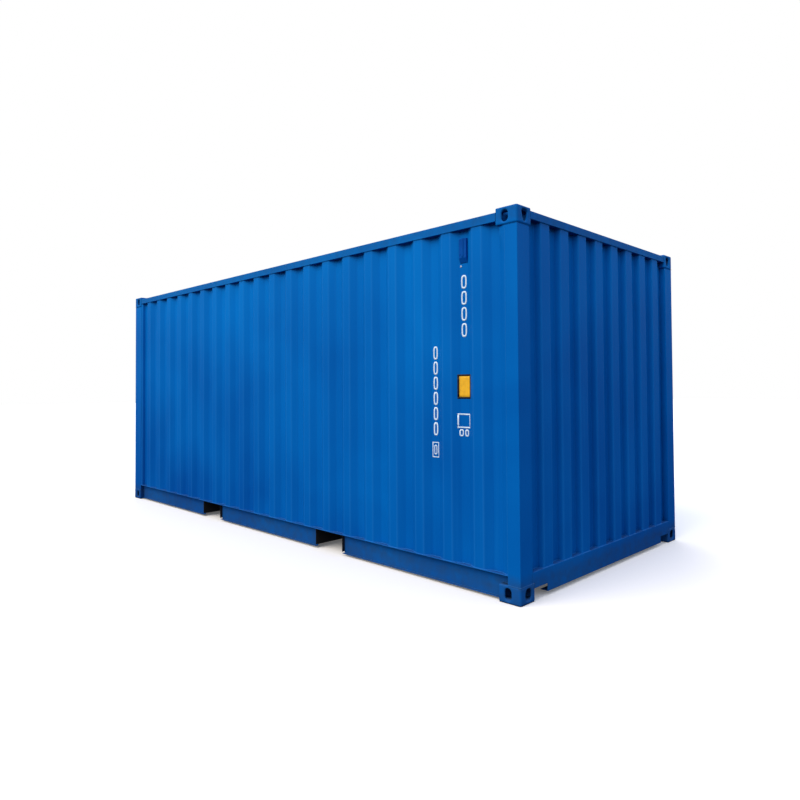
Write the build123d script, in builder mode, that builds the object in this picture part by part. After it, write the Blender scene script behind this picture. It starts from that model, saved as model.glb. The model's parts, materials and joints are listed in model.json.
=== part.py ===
"""Twenty-foot steel dry freight container with its doors shut.

The origin is under the middle of the base. +X runs to the blind front end, -X to the
doors, and +Z is up. The container stands on its four bottom corner castings at z = 0.
"""

import os
from math import cos, floor, radians, tan

from build123d import *

os.makedirs("parts", exist_ok=True)

# Overall size
LENGTH = 6058
WIDTH = 2438
HEIGHT = 2591

# Corner castings
CASTING_L = 178
CASTING_W = 162
CASTING_H = 118
CASTING_CHAMFER = 10
CASTING_FACE_WALL = 28
CASTING_OUTER_WALL = 16
CASTING_INNER_WALL = 10
LOCK_INSET_X = 102.5
LOCK_INSET_Y = 89.5
LOCK_SLOT_L = 124
LOCK_SLOT_W = 63.5
SIDE_HOLE_H = 79.5
SIDE_HOLE_W = 51
END_HOLE_W = 63.5
SHIELD_SHOULDER = 16
SHIELD_FOOT = 20

# Frame members
FRAME_INSET = 4
FRONT_POST_SIDE = 100
REAR_POST_SIDE = 174
POST_FACE = 140
POST_LIP = 40
POST_RETURN = 60
POST_PLATE = 6
TOP_RAIL = 60
TOP_RAIL_WALL = 3
TOP_RAIL_DROP = 26
FRONT_RAIL_H = 54
FRONT_RAIL_DROP = 17
BOTTOM_RAIL_H = 162
BOTTOM_RAIL_LIFT = 18
BOTTOM_RAIL_TOP_FLANGE = 48
BOTTOM_RAIL_LOW_FLANGE = 30
BOTTOM_RAIL_WALL = 4.5

# Front sill
SILL_LIFT = 30
FRONT_SILL_TOP = 190
FRONT_SILL_LEDGE = 80
SILL_FOOT = 60
SILL_WALL = 4
SILL_NOTCH_W = 157
SILL_NOTCH_TOP = 84

# Corrugated walls
WALL_SETBACK = 6
SIDE_PITCH = 279.5
SIDE_PHASE = 28
SIDE_RECESS = 70
SIDE_SLOPE = 64
SIDE_DEPTH = 36
SIDE_SHEET = 1.6
REAR_FLAT = 28
REAR_STEP = 10
FRONT_PITCH = 250
FRONT_RIB = 110
FRONT_SLOPE = 18
FRONT_DEPTH = 45.6
FRONT_SHEET = 2

# Roof
ROOF_SHEET = 2
ROOF_PITCH = 209
ROOF_RIB = 118
ROOF_RIB_H = 18
ROOF_RIB_TAPER = 34
ROOF_RIB_MARGIN = 75
ROOF_EDGE = 10
ROOF_RIB_CLEAR = 20
CORNER_PLATE_L = 300
CORNER_PLATE_W = 250
CORNER_PLATE_T = 3

# Floor and underframe
FLOOR_T = 28
FLOOR_GAP = 2
FLOOR_BOARDS = 5
CROSS_H = 122
CROSS_TOP_FLANGE = 45
CROSS_LOW_FLANGE = 40
CROSS_WALL = 4
CROSS_SPACING = 300
POCKET_W = 360
POCKET_H = 128
POCKET_SPACING = 2050
POCKET_LIFT = 20
POCKET_TOP_PLATE = 3
POCKET_SIDE_PLATE = 4
POCKET_STRAP_W = 200
POCKET_STRAP_T = 6
POCKET_STRAP_INSET = 330

# Door end
JAMB_FACE = 56
JAMB_DEPTH = 112
JAMB_LIP = 24
DOOR_STEP = 6
DOOR_T = 50
DOOR_GAP = 8
DOOR_SPLIT = 8
DOOR_STILE = 100
DOOR_CROSSBAR = 150
DOOR_PLATE = 3.2
DOOR_SHEET = 2
DOOR_RECESS_PITCH = 236
DOOR_RECESS = 90
DOOR_RECESS_SLOPE = 28
DOOR_RECESS_DEPTH = 36
GASKET_CLEAR = 0.3
GASKET_T = 30
GASKET_INSET = 10
HEADER_SETBACK = 54
HEADER_DEPTH = 90
HEADER_H = 116
HEADER_WALL = 4
DOOR_SILL_TOP = 188
DOOR_SILL_FOOT = 70
DOOR_SILL_WALL = 4.5

# Door gear
ROD_R = 17
ROD_GAP = 1
ROD_CLEAR = 0.3
CAM_L = 88
CAM_T = 20
CAM_H = 40
CAM_BOSS_WALL = 0.5
KEEPER_INSET = 45
KEEPER_H = 60
KEEPER_PLATE = 6
KEEPER_MOUTH = 66
KEEPER_CLEAR = 2
BRACKET_H = 45
BRACKET_W = 88
BRACKET_PLATE = 5
BRACKET_END = 75
BRACKET_LOW = 640
BRACKET_HIGH = 1400
HANDLE_LOW = 900
HANDLE_HIGH = 1070
HUB_WALL = 7
HUB_H = 70
LEVER_L = 330
LEVER_H = 38
LEVER_T = 12
CATCH_W = 40
CATCH_PLATE = 6
CATCH_LIP = 24
CATCH_CLEAR = 2
HINGES = 4
HINGE_END = 160
HINGE_REACH = 22
HINGE_STANDOFF = 26
KNUCKLE_R = 17
KNUCKLE_H = 60
BLADE_L = 80
BLADE_T = 10
PIN_R = 9
PIN_CLEAR = 0.3
LUG_T = 16
LUG_CLEAR = 0.5

# Ventilator
VENT_W = 66
VENT_FACE_H = 125
VENT_HOOD = 46
VENT_EDGE = 3
VENT_DEPTH = 16
VENT_DROP = 57
VENT_RIDGE_W = 14
VENT_RIDGE_H = 4

# Places worked out from the sizes above
END = LENGTH / 2
SIDE = WIDTH / 2
POST_BOTTOM = CASTING_H
POST_TOP = HEIGHT - CASTING_H
RAIL_TOP = HEIGHT - TOP_RAIL_DROP
RAIL_BOTTOM = RAIL_TOP - TOP_RAIL
FRONT_RAIL_TOP = HEIGHT - FRONT_RAIL_DROP
FRONT_RAIL_BOTTOM = FRONT_RAIL_TOP - FRONT_RAIL_H
BOTTOM_RAIL_TOP = BOTTOM_RAIL_LIFT + BOTTOM_RAIL_H
FRAME_END = END - FRAME_INSET
FRAME_SIDE = SIDE - FRAME_INSET
CASTING_INNER_X = END - CASTING_L
CASTING_INNER_Y = SIDE - CASTING_W
WALL_FRONT = FRAME_END - FRONT_POST_SIDE
WALL_REAR = REAR_POST_SIDE - FRAME_END
FRONT_WALL_END = FRAME_SIDE - POST_FACE
JAMB_Y = FRAME_SIDE - JAMB_FACE
HEADER_FACE = HEADER_SETBACK - END
HEADER_BOTTOM = RAIL_TOP - HEADER_H
LEAF_FACE = HEADER_FACE + DOOR_STEP
RAIL_WEB_INNER = FRAME_SIDE - BOTTOM_RAIL_TOP_FLANGE
POCKET_HALF = POCKET_W / 2 + POCKET_SIDE_PLATE
POCKET_FLOOR = BOTTOM_RAIL_LIFT + POCKET_LIFT
POCKET_ROOF = POCKET_FLOOR + POCKET_H
FLOOR_BOTTOM = POCKET_ROOF + POCKET_TOP_PLATE
RECESS_FLOOR = FRAME_SIDE - WALL_SETBACK - SIDE_DEPTH
ENDS = {"front": 1, "rear": -1}
SIDES = {"right": -1, "left": 1}


def keep(piece, name):
    """Label a finished piece and write it under its own name."""
    piece.label = name
    export_step(piece, f"parts/{name}.step")


def folded(line, sheet):
    """Corners of a bent sheet: the given line, and back along its parallel on the left."""
    points = [Vector(*point) for point in line]
    normals = []
    for start, stop in zip(points, points[1:]):
        along = (stop - start).normalized()
        normals.append(Vector(-along.Y, along.X))
    parallel = [points[0] + normals[0] * sheet]
    for point, before, after in zip(points[1:], normals, normals[1:]):
        mitre = before + after
        parallel.append(point + mitre * (2 * sheet / mitre.dot(mitre)))
    parallel.append(points[-1] + normals[-1] * sheet)
    return points + parallel[::-1]


def bent_sheet(line, sheet):
    """Draw a bent sheet's section in the sketch that is open."""
    Polygon(*folded(line, sheet), align=None)


def at_casting_corners(z_low, z_high):
    """Cut the room of the four corner castings out of the part that is open."""
    with Locations((0, 0, (z_low + z_high) / 2)):
        with GridLocations(LENGTH - CASTING_L, WIDTH - CASTING_W, 2, 2):
            Box(CASTING_L, CASTING_W, z_high - z_low, mode=Mode.SUBTRACT)


# Corner castings: hollow blocks, slotted above or below and holed on both outer sides
def corner_casting(x_side, y_side, is_top):
    face_z = HEIGHT if is_top else 0
    inward = -1 if is_top else 1
    inner_x = CASTING_L - CASTING_OUTER_WALL - CASTING_INNER_WALL
    inner_y = CASTING_W - CASTING_OUTER_WALL - CASTING_INNER_WALL
    inner_h = CASTING_H - CASTING_FACE_WALL - CASTING_INNER_WALL
    lock_x = x_side * (END - LOCK_INSET_X)
    lock_y = y_side * (SIDE - LOCK_INSET_Y)
    hole_z = face_z + inward * CASTING_H / 2
    with BuildPart() as casting:
        with BuildSketch(Plane.XY.offset(face_z)):
            with Locations((x_side * (END - CASTING_L / 2), y_side * (SIDE - CASTING_W / 2))):
                Rectangle(CASTING_L, CASTING_W)
        extrude(amount=inward * CASTING_H)
        corner = casting.edges().filter_by(Axis.Z).sort_by_distance((x_side * END, y_side * SIDE, hole_z))[0]
        chamfer(corner, CASTING_CHAMFER)
        cavity_x = END - CASTING_OUTER_WALL - inner_x / 2
        cavity_y = SIDE - CASTING_OUTER_WALL - inner_y / 2
        cavity_z = face_z + inward * (CASTING_FACE_WALL + inner_h / 2)
        with Locations((x_side * cavity_x, y_side * cavity_y, cavity_z)):
            Box(inner_x, inner_y, inner_h, mode=Mode.SUBTRACT)
        with BuildSketch(Plane.XY.offset(face_z)):
            with Locations((lock_x, lock_y)):
                SlotOverall(LOCK_SLOT_L, LOCK_SLOT_W)
        extrude(amount=inward * CASTING_FACE_WALL, mode=Mode.SUBTRACT)
        with BuildSketch(Plane.YZ.offset(x_side * END)):
            if is_top:
                shoulder_y = END_HOLE_W / 2 - SHIELD_SHOULDER
                shoulder_z = hole_z + SIDE_HOLE_H / 2 - SHIELD_SHOULDER
                with Locations((lock_y - shoulder_y, shoulder_z), (lock_y + shoulder_y, shoulder_z)):
                    Circle(SHIELD_SHOULDER)
                with Locations((lock_y, hole_z - SIDE_HOLE_H / 2 + SHIELD_FOOT)):
                    Circle(SHIELD_FOOT)
                make_hull()
            else:
                with Locations((lock_y, hole_z)):
                    SlotOverall(SIDE_HOLE_H, END_HOLE_W, rotation=90)
        extrude(amount=-x_side * CASTING_OUTER_WALL, mode=Mode.SUBTRACT)
        with BuildSketch(Plane.XZ.offset(-y_side * SIDE)):
            with Locations((lock_x, hole_z)):
                SlotOverall(SIDE_HOLE_H, SIDE_HOLE_W, rotation=90)
        extrude(amount=y_side * CASTING_OUTER_WALL, mode=Mode.SUBTRACT)
    return casting.part


for end_name, x_side in ENDS.items():
    for level_name, is_top in (("top", True), ("bottom", False)):
        with BuildPart() as castings:
            for y_side in SIDES.values():
                add(corner_casting(x_side, y_side, is_top))
        keep(castings.part, f"{level_name}_castings_{end_name}")


# Corner posts: pressed plate, with a lip that each wall's edge is welded to
def corner_post(profile, x_side, y_side):
    corners = [(x_side * (END - u), y_side * (SIDE - v)) for u, v in profile]
    turn = -x_side * y_side
    with BuildPart() as post:
        with BuildSketch(Plane.XY.offset(POST_BOTTOM)):
            bent_sheet(corners, turn * POST_PLATE)
        extrude(amount=POST_TOP - POST_BOTTOM)
        if x_side < 0:
            for low, high in ((POST_BOTTOM, DOOR_SILL_TOP), (HEADER_BOTTOM, POST_TOP)):
                with Locations((-END, y_side * (JAMB_Y - JAMB_LIP), low)):
                    lip_align = (Align.MIN, Align.MIN if y_side > 0 else Align.MAX, Align.MIN)
                    Box(END, JAMB_LIP, high - low, align=lip_align, mode=Mode.SUBTRACT)
    return post.part


FRONT_POST_BACK = FRAME_INSET + FRONT_POST_SIDE
REAR_POST_BACK = FRAME_INSET + REAR_POST_SIDE
FRONT_POST_PROFILE = [
    (FRONT_POST_BACK, FRAME_INSET + POST_LIP),
    (FRONT_POST_BACK, FRAME_INSET),
    (FRAME_INSET, FRAME_INSET),
    (FRAME_INSET, FRAME_INSET + POST_FACE),
    (FRAME_INSET + POST_RETURN, FRAME_INSET + POST_FACE),
]
REAR_POST_PROFILE = [
    (REAR_POST_BACK, FRAME_INSET + JAMB_FACE),
    (REAR_POST_BACK, FRAME_INSET),
    (FRAME_INSET, FRAME_INSET),
    (FRAME_INSET, FRAME_INSET + JAMB_FACE),
    (FRAME_INSET + JAMB_DEPTH, FRAME_INSET + JAMB_FACE),
    (FRAME_INSET + JAMB_DEPTH, FRAME_INSET + JAMB_FACE + JAMB_LIP),
]

for side_name, y_side in SIDES.items():
    keep(corner_post(FRONT_POST_PROFILE, 1, y_side), f"front_post_{side_name}")
    keep(corner_post(REAR_POST_PROFILE, -1, y_side), f"rear_post_{side_name}")


# Tube rails round the top, between the castings
def rail_tube(height):
    """Draw a top rail's hollow section in the sketch that is open."""
    Rectangle(TOP_RAIL, height)
    Rectangle(TOP_RAIL - 2 * TOP_RAIL_WALL, height - 2 * TOP_RAIL_WALL, mode=Mode.SUBTRACT)


for side_name, y_side in SIDES.items():
    with BuildPart() as top_rail:
        with BuildSketch(Plane.YZ):
            with Locations((y_side * (FRAME_SIDE - TOP_RAIL / 2), (RAIL_BOTTOM + RAIL_TOP) / 2)):
                rail_tube(TOP_RAIL)
        extrude(amount=CASTING_INNER_X, both=True)
    keep(top_rail.part, f"top_rail_{side_name}")

with BuildPart() as front_top_rail:
    with BuildSketch(Plane.XZ):
        with Locations((FRAME_END - TOP_RAIL / 2, (FRONT_RAIL_BOTTOM + FRONT_RAIL_TOP) / 2)):
            rail_tube(FRONT_RAIL_H)
    extrude(amount=CASTING_INNER_Y, both=True)
keep(front_top_rail.part, "front_top_rail")


# Bottom side rails: channels that open outwards, notched over the castings and cut for the fork pockets
for side_name, y_side in SIDES.items():
    web_y = y_side * RAIL_WEB_INNER
    with BuildPart() as bottom_rail:
        with BuildSketch(Plane.YZ.offset(WALL_REAR)):
            rail_line = [
                (y_side * FRAME_SIDE, BOTTOM_RAIL_TOP),
                (web_y, BOTTOM_RAIL_TOP),
                (web_y, BOTTOM_RAIL_LIFT),
                (web_y + y_side * BOTTOM_RAIL_LOW_FLANGE, BOTTOM_RAIL_LIFT),
            ]
            bent_sheet(rail_line, y_side * BOTTOM_RAIL_WALL)
        extrude(amount=WALL_FRONT - WALL_REAR)
        at_casting_corners(0, CASTING_H)
        with BuildSketch(Plane.XZ.offset(-web_y)):
            with Locations((0, (BOTTOM_RAIL_LIFT + FLOOR_BOTTOM) / 2)):
                with GridLocations(POCKET_SPACING, 1, 2, 1):
                    Rectangle(2 * POCKET_HALF, FLOOR_BOTTOM - BOTTOM_RAIL_LIFT)
        extrude(amount=-y_side * BOTTOM_RAIL_LOW_FLANGE, mode=Mode.SUBTRACT)
    keep(bottom_rail.part, f"bottom_rail_{side_name}")


# Front sill: a channel, cut away beside the castings
def cut_sill_ends(x_low, x_high):
    """Cut the two raised ends out of the sill that is open."""
    notch_y = CASTING_INNER_Y - SILL_NOTCH_W / 2
    with Locations(((x_low + x_high) / 2, 0, SILL_NOTCH_TOP / 2)):
        with GridLocations(1, 2 * notch_y, 1, 2):
            Box(x_high - x_low, SILL_NOTCH_W, SILL_NOTCH_TOP, mode=Mode.SUBTRACT)


with BuildPart() as front_sill:
    with BuildSketch(Plane.XZ):
        sill_line = [
            (FRAME_END - FRONT_SILL_LEDGE, FRONT_SILL_TOP),
            (FRAME_END, FRONT_SILL_TOP),
            (FRAME_END, SILL_LIFT),
            (FRAME_END - SILL_FOOT, SILL_LIFT),
        ]
        bent_sheet(sill_line, -SILL_WALL)
    extrude(amount=FRONT_WALL_END, both=True)
    at_casting_corners(0, CASTING_H)
    cut_sill_ends(0, END)
keep(front_sill.part, "front_sill")


# Side walls: one sheet folded into shallow recesses, trimmed under the top castings
HALF_FLOOR = SIDE_RECESS / 2
HALF_MOUTH = HALF_FLOOR + SIDE_SLOPE
RECESSES_FRONT = floor((WALL_FRONT - SIDE_PHASE - HALF_MOUTH) / SIDE_PITCH)
RECESSES_REAR = floor((SIDE_PHASE - WALL_REAR - REAR_FLAT - REAR_STEP - HALF_FLOOR) / SIDE_PITCH)


def recess_centre(step):
    """Place along the container of a side wall's recess."""
    return SIDE_PHASE + step * SIDE_PITCH


def side_wall_line(y_side):
    """Outer line of a side wall, from the rear post's flat strip to the front post."""
    inner_y = y_side * RECESS_FLOOR
    outer_y = inner_y + y_side * SIDE_DEPTH
    rear_recess = recess_centre(-RECESSES_REAR)
    line = [
        (WALL_REAR, outer_y),
        (WALL_REAR + REAR_FLAT, outer_y),
        (WALL_REAR + REAR_FLAT + REAR_STEP, inner_y),
        (rear_recess + HALF_FLOOR, inner_y),
        (rear_recess + HALF_MOUTH, outer_y),
    ]
    for step in range(1 - RECESSES_REAR, RECESSES_FRONT + 1):
        centre = recess_centre(step)
        line.append((centre - HALF_MOUTH, outer_y))
        line.append((centre - HALF_FLOOR, inner_y))
        line.append((centre + HALF_FLOOR, inner_y))
        line.append((centre + HALF_MOUTH, outer_y))
    line.append((WALL_FRONT, outer_y))
    return line


for side_name, y_side in SIDES.items():
    with BuildPart() as side_wall:
        with BuildSketch(Plane.XY.offset(BOTTOM_RAIL_TOP)):
            bent_sheet(side_wall_line(y_side), -y_side * SIDE_SHEET)
        extrude(amount=RAIL_BOTTOM - BOTTOM_RAIL_TOP)
        at_casting_corners(POST_TOP, HEIGHT)
    keep(side_wall.part, f"side_wall_{side_name}")


# Front wall: narrower, steeper and deeper folds
def front_wall_line():
    outer_x = FRAME_END - WALL_SETBACK
    inner_x = outer_x - FRONT_DEPTH
    half_rib = FRONT_RIB / 2
    half_foot = half_rib + FRONT_SLOPE
    rib_count = floor(2 * (FRONT_WALL_END - FRONT_SLOPE) / FRONT_PITCH)
    line = [(inner_x, -FRONT_WALL_END)]
    for step in range(rib_count):
        centre = (step - (rib_count - 1) / 2) * FRONT_PITCH
        line.append((inner_x, centre - half_foot))
        line.append((outer_x, centre - half_rib))
        line.append((outer_x, centre + half_rib))
        line.append((inner_x, centre + half_foot))
    line.append((inner_x, FRONT_WALL_END))
    return line


with BuildPart() as front_wall:
    with BuildSketch(Plane.XY.offset(FRONT_SILL_TOP)):
        bent_sheet(front_wall_line(), FRONT_SHEET)
    extrude(amount=FRONT_RAIL_BOTTOM - FRONT_SILL_TOP)
    at_casting_corners(POST_TOP, HEIGHT)
keep(front_wall.part, "front_wall")


# Roof: a sheet with pressed cross ribs, hollow from below, and plates at its ends and corners
ROOF_FRONT = FRAME_END - TOP_RAIL
ROOF_REAR = HEADER_FACE + ROOF_EDGE
ROOF_SIDE = FRAME_SIDE - ROOF_EDGE
ROOF_TOP = RAIL_TOP + ROOF_SHEET
rib_span = 2 * (ROOF_SIDE - ROOF_RIB_MARGIN)
rib_room = ROOF_FRONT - ROOF_REAR - 2 * (CORNER_PLATE_L + ROOF_RIB_CLEAR) - ROOF_RIB
rib_count = floor(rib_room / ROOF_PITCH) + 1
rib_middle = (ROOF_FRONT + ROOF_REAR) / 2
rib_narrowing = 2 * ROOF_SHEET * (1 / cos(radians(ROOF_RIB_TAPER)) - tan(radians(ROOF_RIB_TAPER)))

with BuildPart() as roof:
    with BuildSketch(Plane.XY.offset(RAIL_TOP)):
        Rectangle(2 * CASTING_INNER_X, 2 * ROOF_SIDE)
    extrude(amount=ROOF_SHEET)
    with BuildSketch(Plane.XY.offset(ROOF_TOP)):
        with Locations((rib_middle, 0)):
            with GridLocations(ROOF_PITCH, 1, rib_count, 1):
                Rectangle(ROOF_RIB, rib_span)
    extrude(amount=ROOF_RIB_H, taper=ROOF_RIB_TAPER)
    with BuildSketch(Plane.XY.offset(RAIL_TOP)):
        with Locations((rib_middle, 0)):
            with GridLocations(ROOF_PITCH, 1, rib_count, 1):
                Rectangle(ROOF_RIB - rib_narrowing, rib_span - rib_narrowing)
    extrude(amount=ROOF_RIB_H, taper=ROOF_RIB_TAPER, mode=Mode.SUBTRACT)
keep(roof.part, "roof")

with BuildPart() as roof_end_plates:
    for x_edge, x_inner in ((ROOF_FRONT, CASTING_INNER_X), (ROOF_REAR, -CASTING_INNER_X)):
        with BuildSketch(Plane.XY.offset(RAIL_TOP)):
            with Locations(((x_edge + x_inner) / 2, 0)):
                Rectangle(abs(x_edge - x_inner), 2 * CASTING_INNER_Y)
        extrude(amount=ROOF_SHEET)
keep(roof_end_plates.part, "roof_end_plates")

with BuildPart() as corner_plates:
    for x_edge, x_side in ((ROOF_FRONT, -1), (ROOF_REAR, 1)):
        with BuildSketch(Plane.XY.offset(ROOF_TOP)):
            with Locations((x_edge + x_side * CORNER_PLATE_L / 2, 0)):
                with GridLocations(1, 2 * CASTING_INNER_Y - CORNER_PLATE_W, 1, 2):
                    Rectangle(CORNER_PLATE_L, CORNER_PLATE_W)
        extrude(amount=CORNER_PLATE_T)
keep(corner_plates.part, "roof_corner_plates")


# Underframe: cross members, two fork pockets and the plywood floor on top of them
POCKET_NEAR = POCKET_SPACING / 2 - POCKET_HALF
POCKET_FAR = POCKET_SPACING / 2 + POCKET_HALF
FLOOR_FRONT = FRAME_END - FRONT_SILL_LEDGE - FLOOR_GAP
FLOOR_REAR = WALL_REAR + FLOOR_GAP
FLOOR_SIDE = FRAME_SIDE - BOTTOM_RAIL_TOP_FLANGE - FLOOR_GAP


def bay_positions(start, stop):
    """Places of the cross members in one bay of the floor, clear of both ends."""
    count = floor((stop - start) / CROSS_SPACING)
    step = (stop - start) / (count + 1)
    return [start + step * (place + 1) for place in range(count)]


with BuildPart() as cross_members:
    bays = [(FLOOR_REAR, -POCKET_FAR), (-POCKET_NEAR, POCKET_NEAR), (POCKET_FAR, FLOOR_FRONT)]
    for bay_start, bay_stop in bays:
        for place in bay_positions(bay_start, bay_stop):
            with BuildSketch(Plane.XZ):
                member_line = [
                    (place + CROSS_TOP_FLANGE, FLOOR_BOTTOM),
                    (place, FLOOR_BOTTOM),
                    (place, FLOOR_BOTTOM - CROSS_H),
                    (place + CROSS_LOW_FLANGE, FLOOR_BOTTOM - CROSS_H),
                ]
                bent_sheet(member_line, CROSS_WALL)
            extrude(amount=RAIL_WEB_INNER, both=True)
keep(cross_members.part, "cross_members")

for end_name, x_side in ENDS.items():
    pocket_x = x_side * POCKET_SPACING / 2
    with BuildPart() as fork_pocket:
        with BuildSketch(Plane.XZ):
            with Locations((pocket_x, FLOOR_BOTTOM)):
                outer_h = FLOOR_BOTTOM - POCKET_FLOOR + POCKET_STRAP_T
                Rectangle(2 * POCKET_HALF, outer_h, align=(Align.CENTER, Align.MAX))
            with Locations((pocket_x, POCKET_ROOF)):
                opening_h = POCKET_H + POCKET_STRAP_T
                Rectangle(POCKET_W, opening_h, align=(Align.CENTER, Align.MAX), mode=Mode.SUBTRACT)
        extrude(amount=RAIL_WEB_INNER + BOTTOM_RAIL_LOW_FLANGE, both=True)
        with Locations((pocket_x, 0, POCKET_FLOOR - POCKET_STRAP_T / 2)):
            with GridLocations(1, 2 * (RAIL_WEB_INNER - POCKET_STRAP_INSET) - POCKET_STRAP_W, 1, 2):
                Box(POCKET_W, POCKET_STRAP_W, POCKET_STRAP_T)
    keep(fork_pocket.part, f"fork_pocket_{end_name}")

with BuildPart() as floor_boards:
    board_l = (FLOOR_FRONT - FLOOR_REAR - (FLOOR_BOARDS - 1) * FLOOR_GAP) / FLOOR_BOARDS
    board_w = FLOOR_SIDE - FLOOR_GAP / 2
    with BuildSketch(Plane.XY.offset(FLOOR_BOTTOM)):
        with Locations(((FLOOR_FRONT + FLOOR_REAR) / 2, 0)):
            with GridLocations(board_l + FLOOR_GAP, board_w + FLOOR_GAP, FLOOR_BOARDS, 2):
                Rectangle(board_l, board_w)
    extrude(amount=FLOOR_T)
keep(floor_boards.part, "floor_boards")


# Door frame: a box header and a channel sill between the rear posts
with BuildPart() as door_header:
    with BuildSketch(Plane.XZ):
        with Locations((HEADER_FACE + HEADER_DEPTH / 2, (HEADER_BOTTOM + RAIL_TOP) / 2)):
            Rectangle(HEADER_DEPTH, HEADER_H)
            Rectangle(HEADER_DEPTH - 2 * HEADER_WALL, HEADER_H - 2 * HEADER_WALL, mode=Mode.SUBTRACT)
    extrude(amount=JAMB_Y, both=True)
    at_casting_corners(POST_TOP, HEIGHT)
keep(door_header.part, "door_header")

with BuildPart() as door_sill:
    with BuildSketch(Plane.XZ):
        sill_line = [
            (WALL_REAR, DOOR_SILL_TOP),
            (HEADER_FACE, DOOR_SILL_TOP),
            (HEADER_FACE, SILL_LIFT),
            (HEADER_FACE + DOOR_SILL_FOOT, SILL_LIFT),
        ]
        bent_sheet(sill_line, DOOR_SILL_WALL)
    extrude(amount=JAMB_Y, both=True)
    at_casting_corners(0, CASTING_H)
    cut_sill_ends(-END, 0)
keep(door_sill.part, "door_sill")


# Door leaves: a pressed frame, a folded sheet and a rubber gasket round the edge
LEAF_INNER_Y = DOOR_SPLIT / 2
LEAF_OUTER_Y = JAMB_Y - DOOR_GAP
LEAF_LOW = DOOR_SILL_TOP + DOOR_GAP
LEAF_HIGH = HEADER_BOTTOM - DOOR_GAP
LEAF_W = LEAF_OUTER_Y - LEAF_INNER_Y
LEAF_H = LEAF_HIGH - LEAF_LOW
LEAF_Z = (LEAF_LOW + LEAF_HIGH) / 2
LEAF_MIDDLE = (LEAF_INNER_Y + LEAF_OUTER_Y) / 2
PANEL_W = LEAF_W - 2 * DOOR_STILE
PANEL_H = LEAF_H - 2 * DOOR_CROSSBAR
GASKET_W = DOOR_GAP - GASKET_CLEAR
GASKET_CENTRE_W = DOOR_SPLIT / 2 - GASKET_CLEAR


def door_panel_line(y_side):
    """Outer line of a door panel: recesses in pairs about a flat in the middle."""
    inner_x = LEAF_FACE + DOOR_RECESS_DEPTH
    half_floor = DOOR_RECESS / 2
    half_mouth = half_floor + DOOR_RECESS_SLOPE
    middle = y_side * LEAF_MIDDLE
    pairs = floor((PANEL_W / 2 - half_mouth) / DOOR_RECESS_PITCH + 1 / 2)
    line = [(LEAF_FACE, middle - PANEL_W / 2)]
    for step in range(-pairs, pairs):
        centre = middle + (step + 1 / 2) * DOOR_RECESS_PITCH
        line.append((LEAF_FACE, centre - half_mouth))
        line.append((inner_x, centre - half_floor))
        line.append((inner_x, centre + half_floor))
        line.append((LEAF_FACE, centre + half_mouth))
    line.append((LEAF_FACE, middle + PANEL_W / 2))
    return line


for side_name, y_side in SIDES.items():
    leaf_y = y_side * LEAF_MIDDLE
    with BuildPart() as door_frame:
        with BuildSketch(Plane.YZ.offset(LEAF_FACE)):
            with Locations((leaf_y, LEAF_Z)):
                Rectangle(LEAF_W, LEAF_H)
                Rectangle(PANEL_W, PANEL_H, mode=Mode.SUBTRACT)
        extrude(amount=DOOR_T)
        with BuildSketch(Plane.YZ.offset(LEAF_FACE + DOOR_PLATE)):
            with Locations((leaf_y, LEAF_Z)):
                Rectangle(LEAF_W - 2 * DOOR_PLATE, LEAF_H - 2 * DOOR_PLATE)
                Rectangle(PANEL_W + 2 * DOOR_PLATE, PANEL_H + 2 * DOOR_PLATE, mode=Mode.SUBTRACT)
        extrude(amount=DOOR_T - DOOR_PLATE, mode=Mode.SUBTRACT)
    keep(door_frame.part, f"door_frame_{side_name}")

    with BuildPart() as door_panel:
        with BuildSketch(Plane.XY.offset(LEAF_LOW + DOOR_CROSSBAR)):
            bent_sheet(door_panel_line(y_side), -DOOR_SHEET)
        extrude(amount=PANEL_H)
    keep(door_panel.part, f"door_panel_{side_name}")

    with BuildPart() as door_gasket:
        with BuildSketch(Plane.YZ.offset(LEAF_FACE + GASKET_INSET)):
            gasket_y = y_side * (LEAF_INNER_Y - GASKET_CENTRE_W + LEAF_OUTER_Y + GASKET_W) / 2
            with Locations((gasket_y, LEAF_Z)):
                Rectangle(LEAF_W + GASKET_CENTRE_W + GASKET_W, LEAF_H + 2 * GASKET_W)
            with Locations((leaf_y, LEAF_Z)):
                Rectangle(LEAF_W, LEAF_H, mode=Mode.SUBTRACT)
        extrude(amount=GASKET_T)
    keep(door_gasket.part, f"door_gasket_{side_name}")


# Lock rods: two on each leaf, in the flats beside its middle, with a cam at both ends
ROD_X = HEADER_FACE - KEEPER_PLATE - ROD_GAP - ROD_R
SILL_KEEPER_Z = DOOR_SILL_TOP - KEEPER_INSET
HEADER_KEEPER_Z = HEADER_BOTTOM + KEEPER_INSET
KEEPER_LEVELS = (SILL_KEEPER_Z, HEADER_KEEPER_Z)
BRACKET_LEVELS = (
    LEAF_LOW + BRACKET_END,
    LEAF_LOW + BRACKET_LOW,
    LEAF_LOW + BRACKET_HIGH,
    LEAF_HIGH - BRACKET_END,
)


def rod_places(y_side):
    """Places of a leaf's inner and outer lock rod across the door end."""
    return [(ROD_X, y_side * (LEAF_MIDDLE + offset)) for offset in (-DOOR_RECESS_PITCH, DOOR_RECESS_PITCH)]


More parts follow.
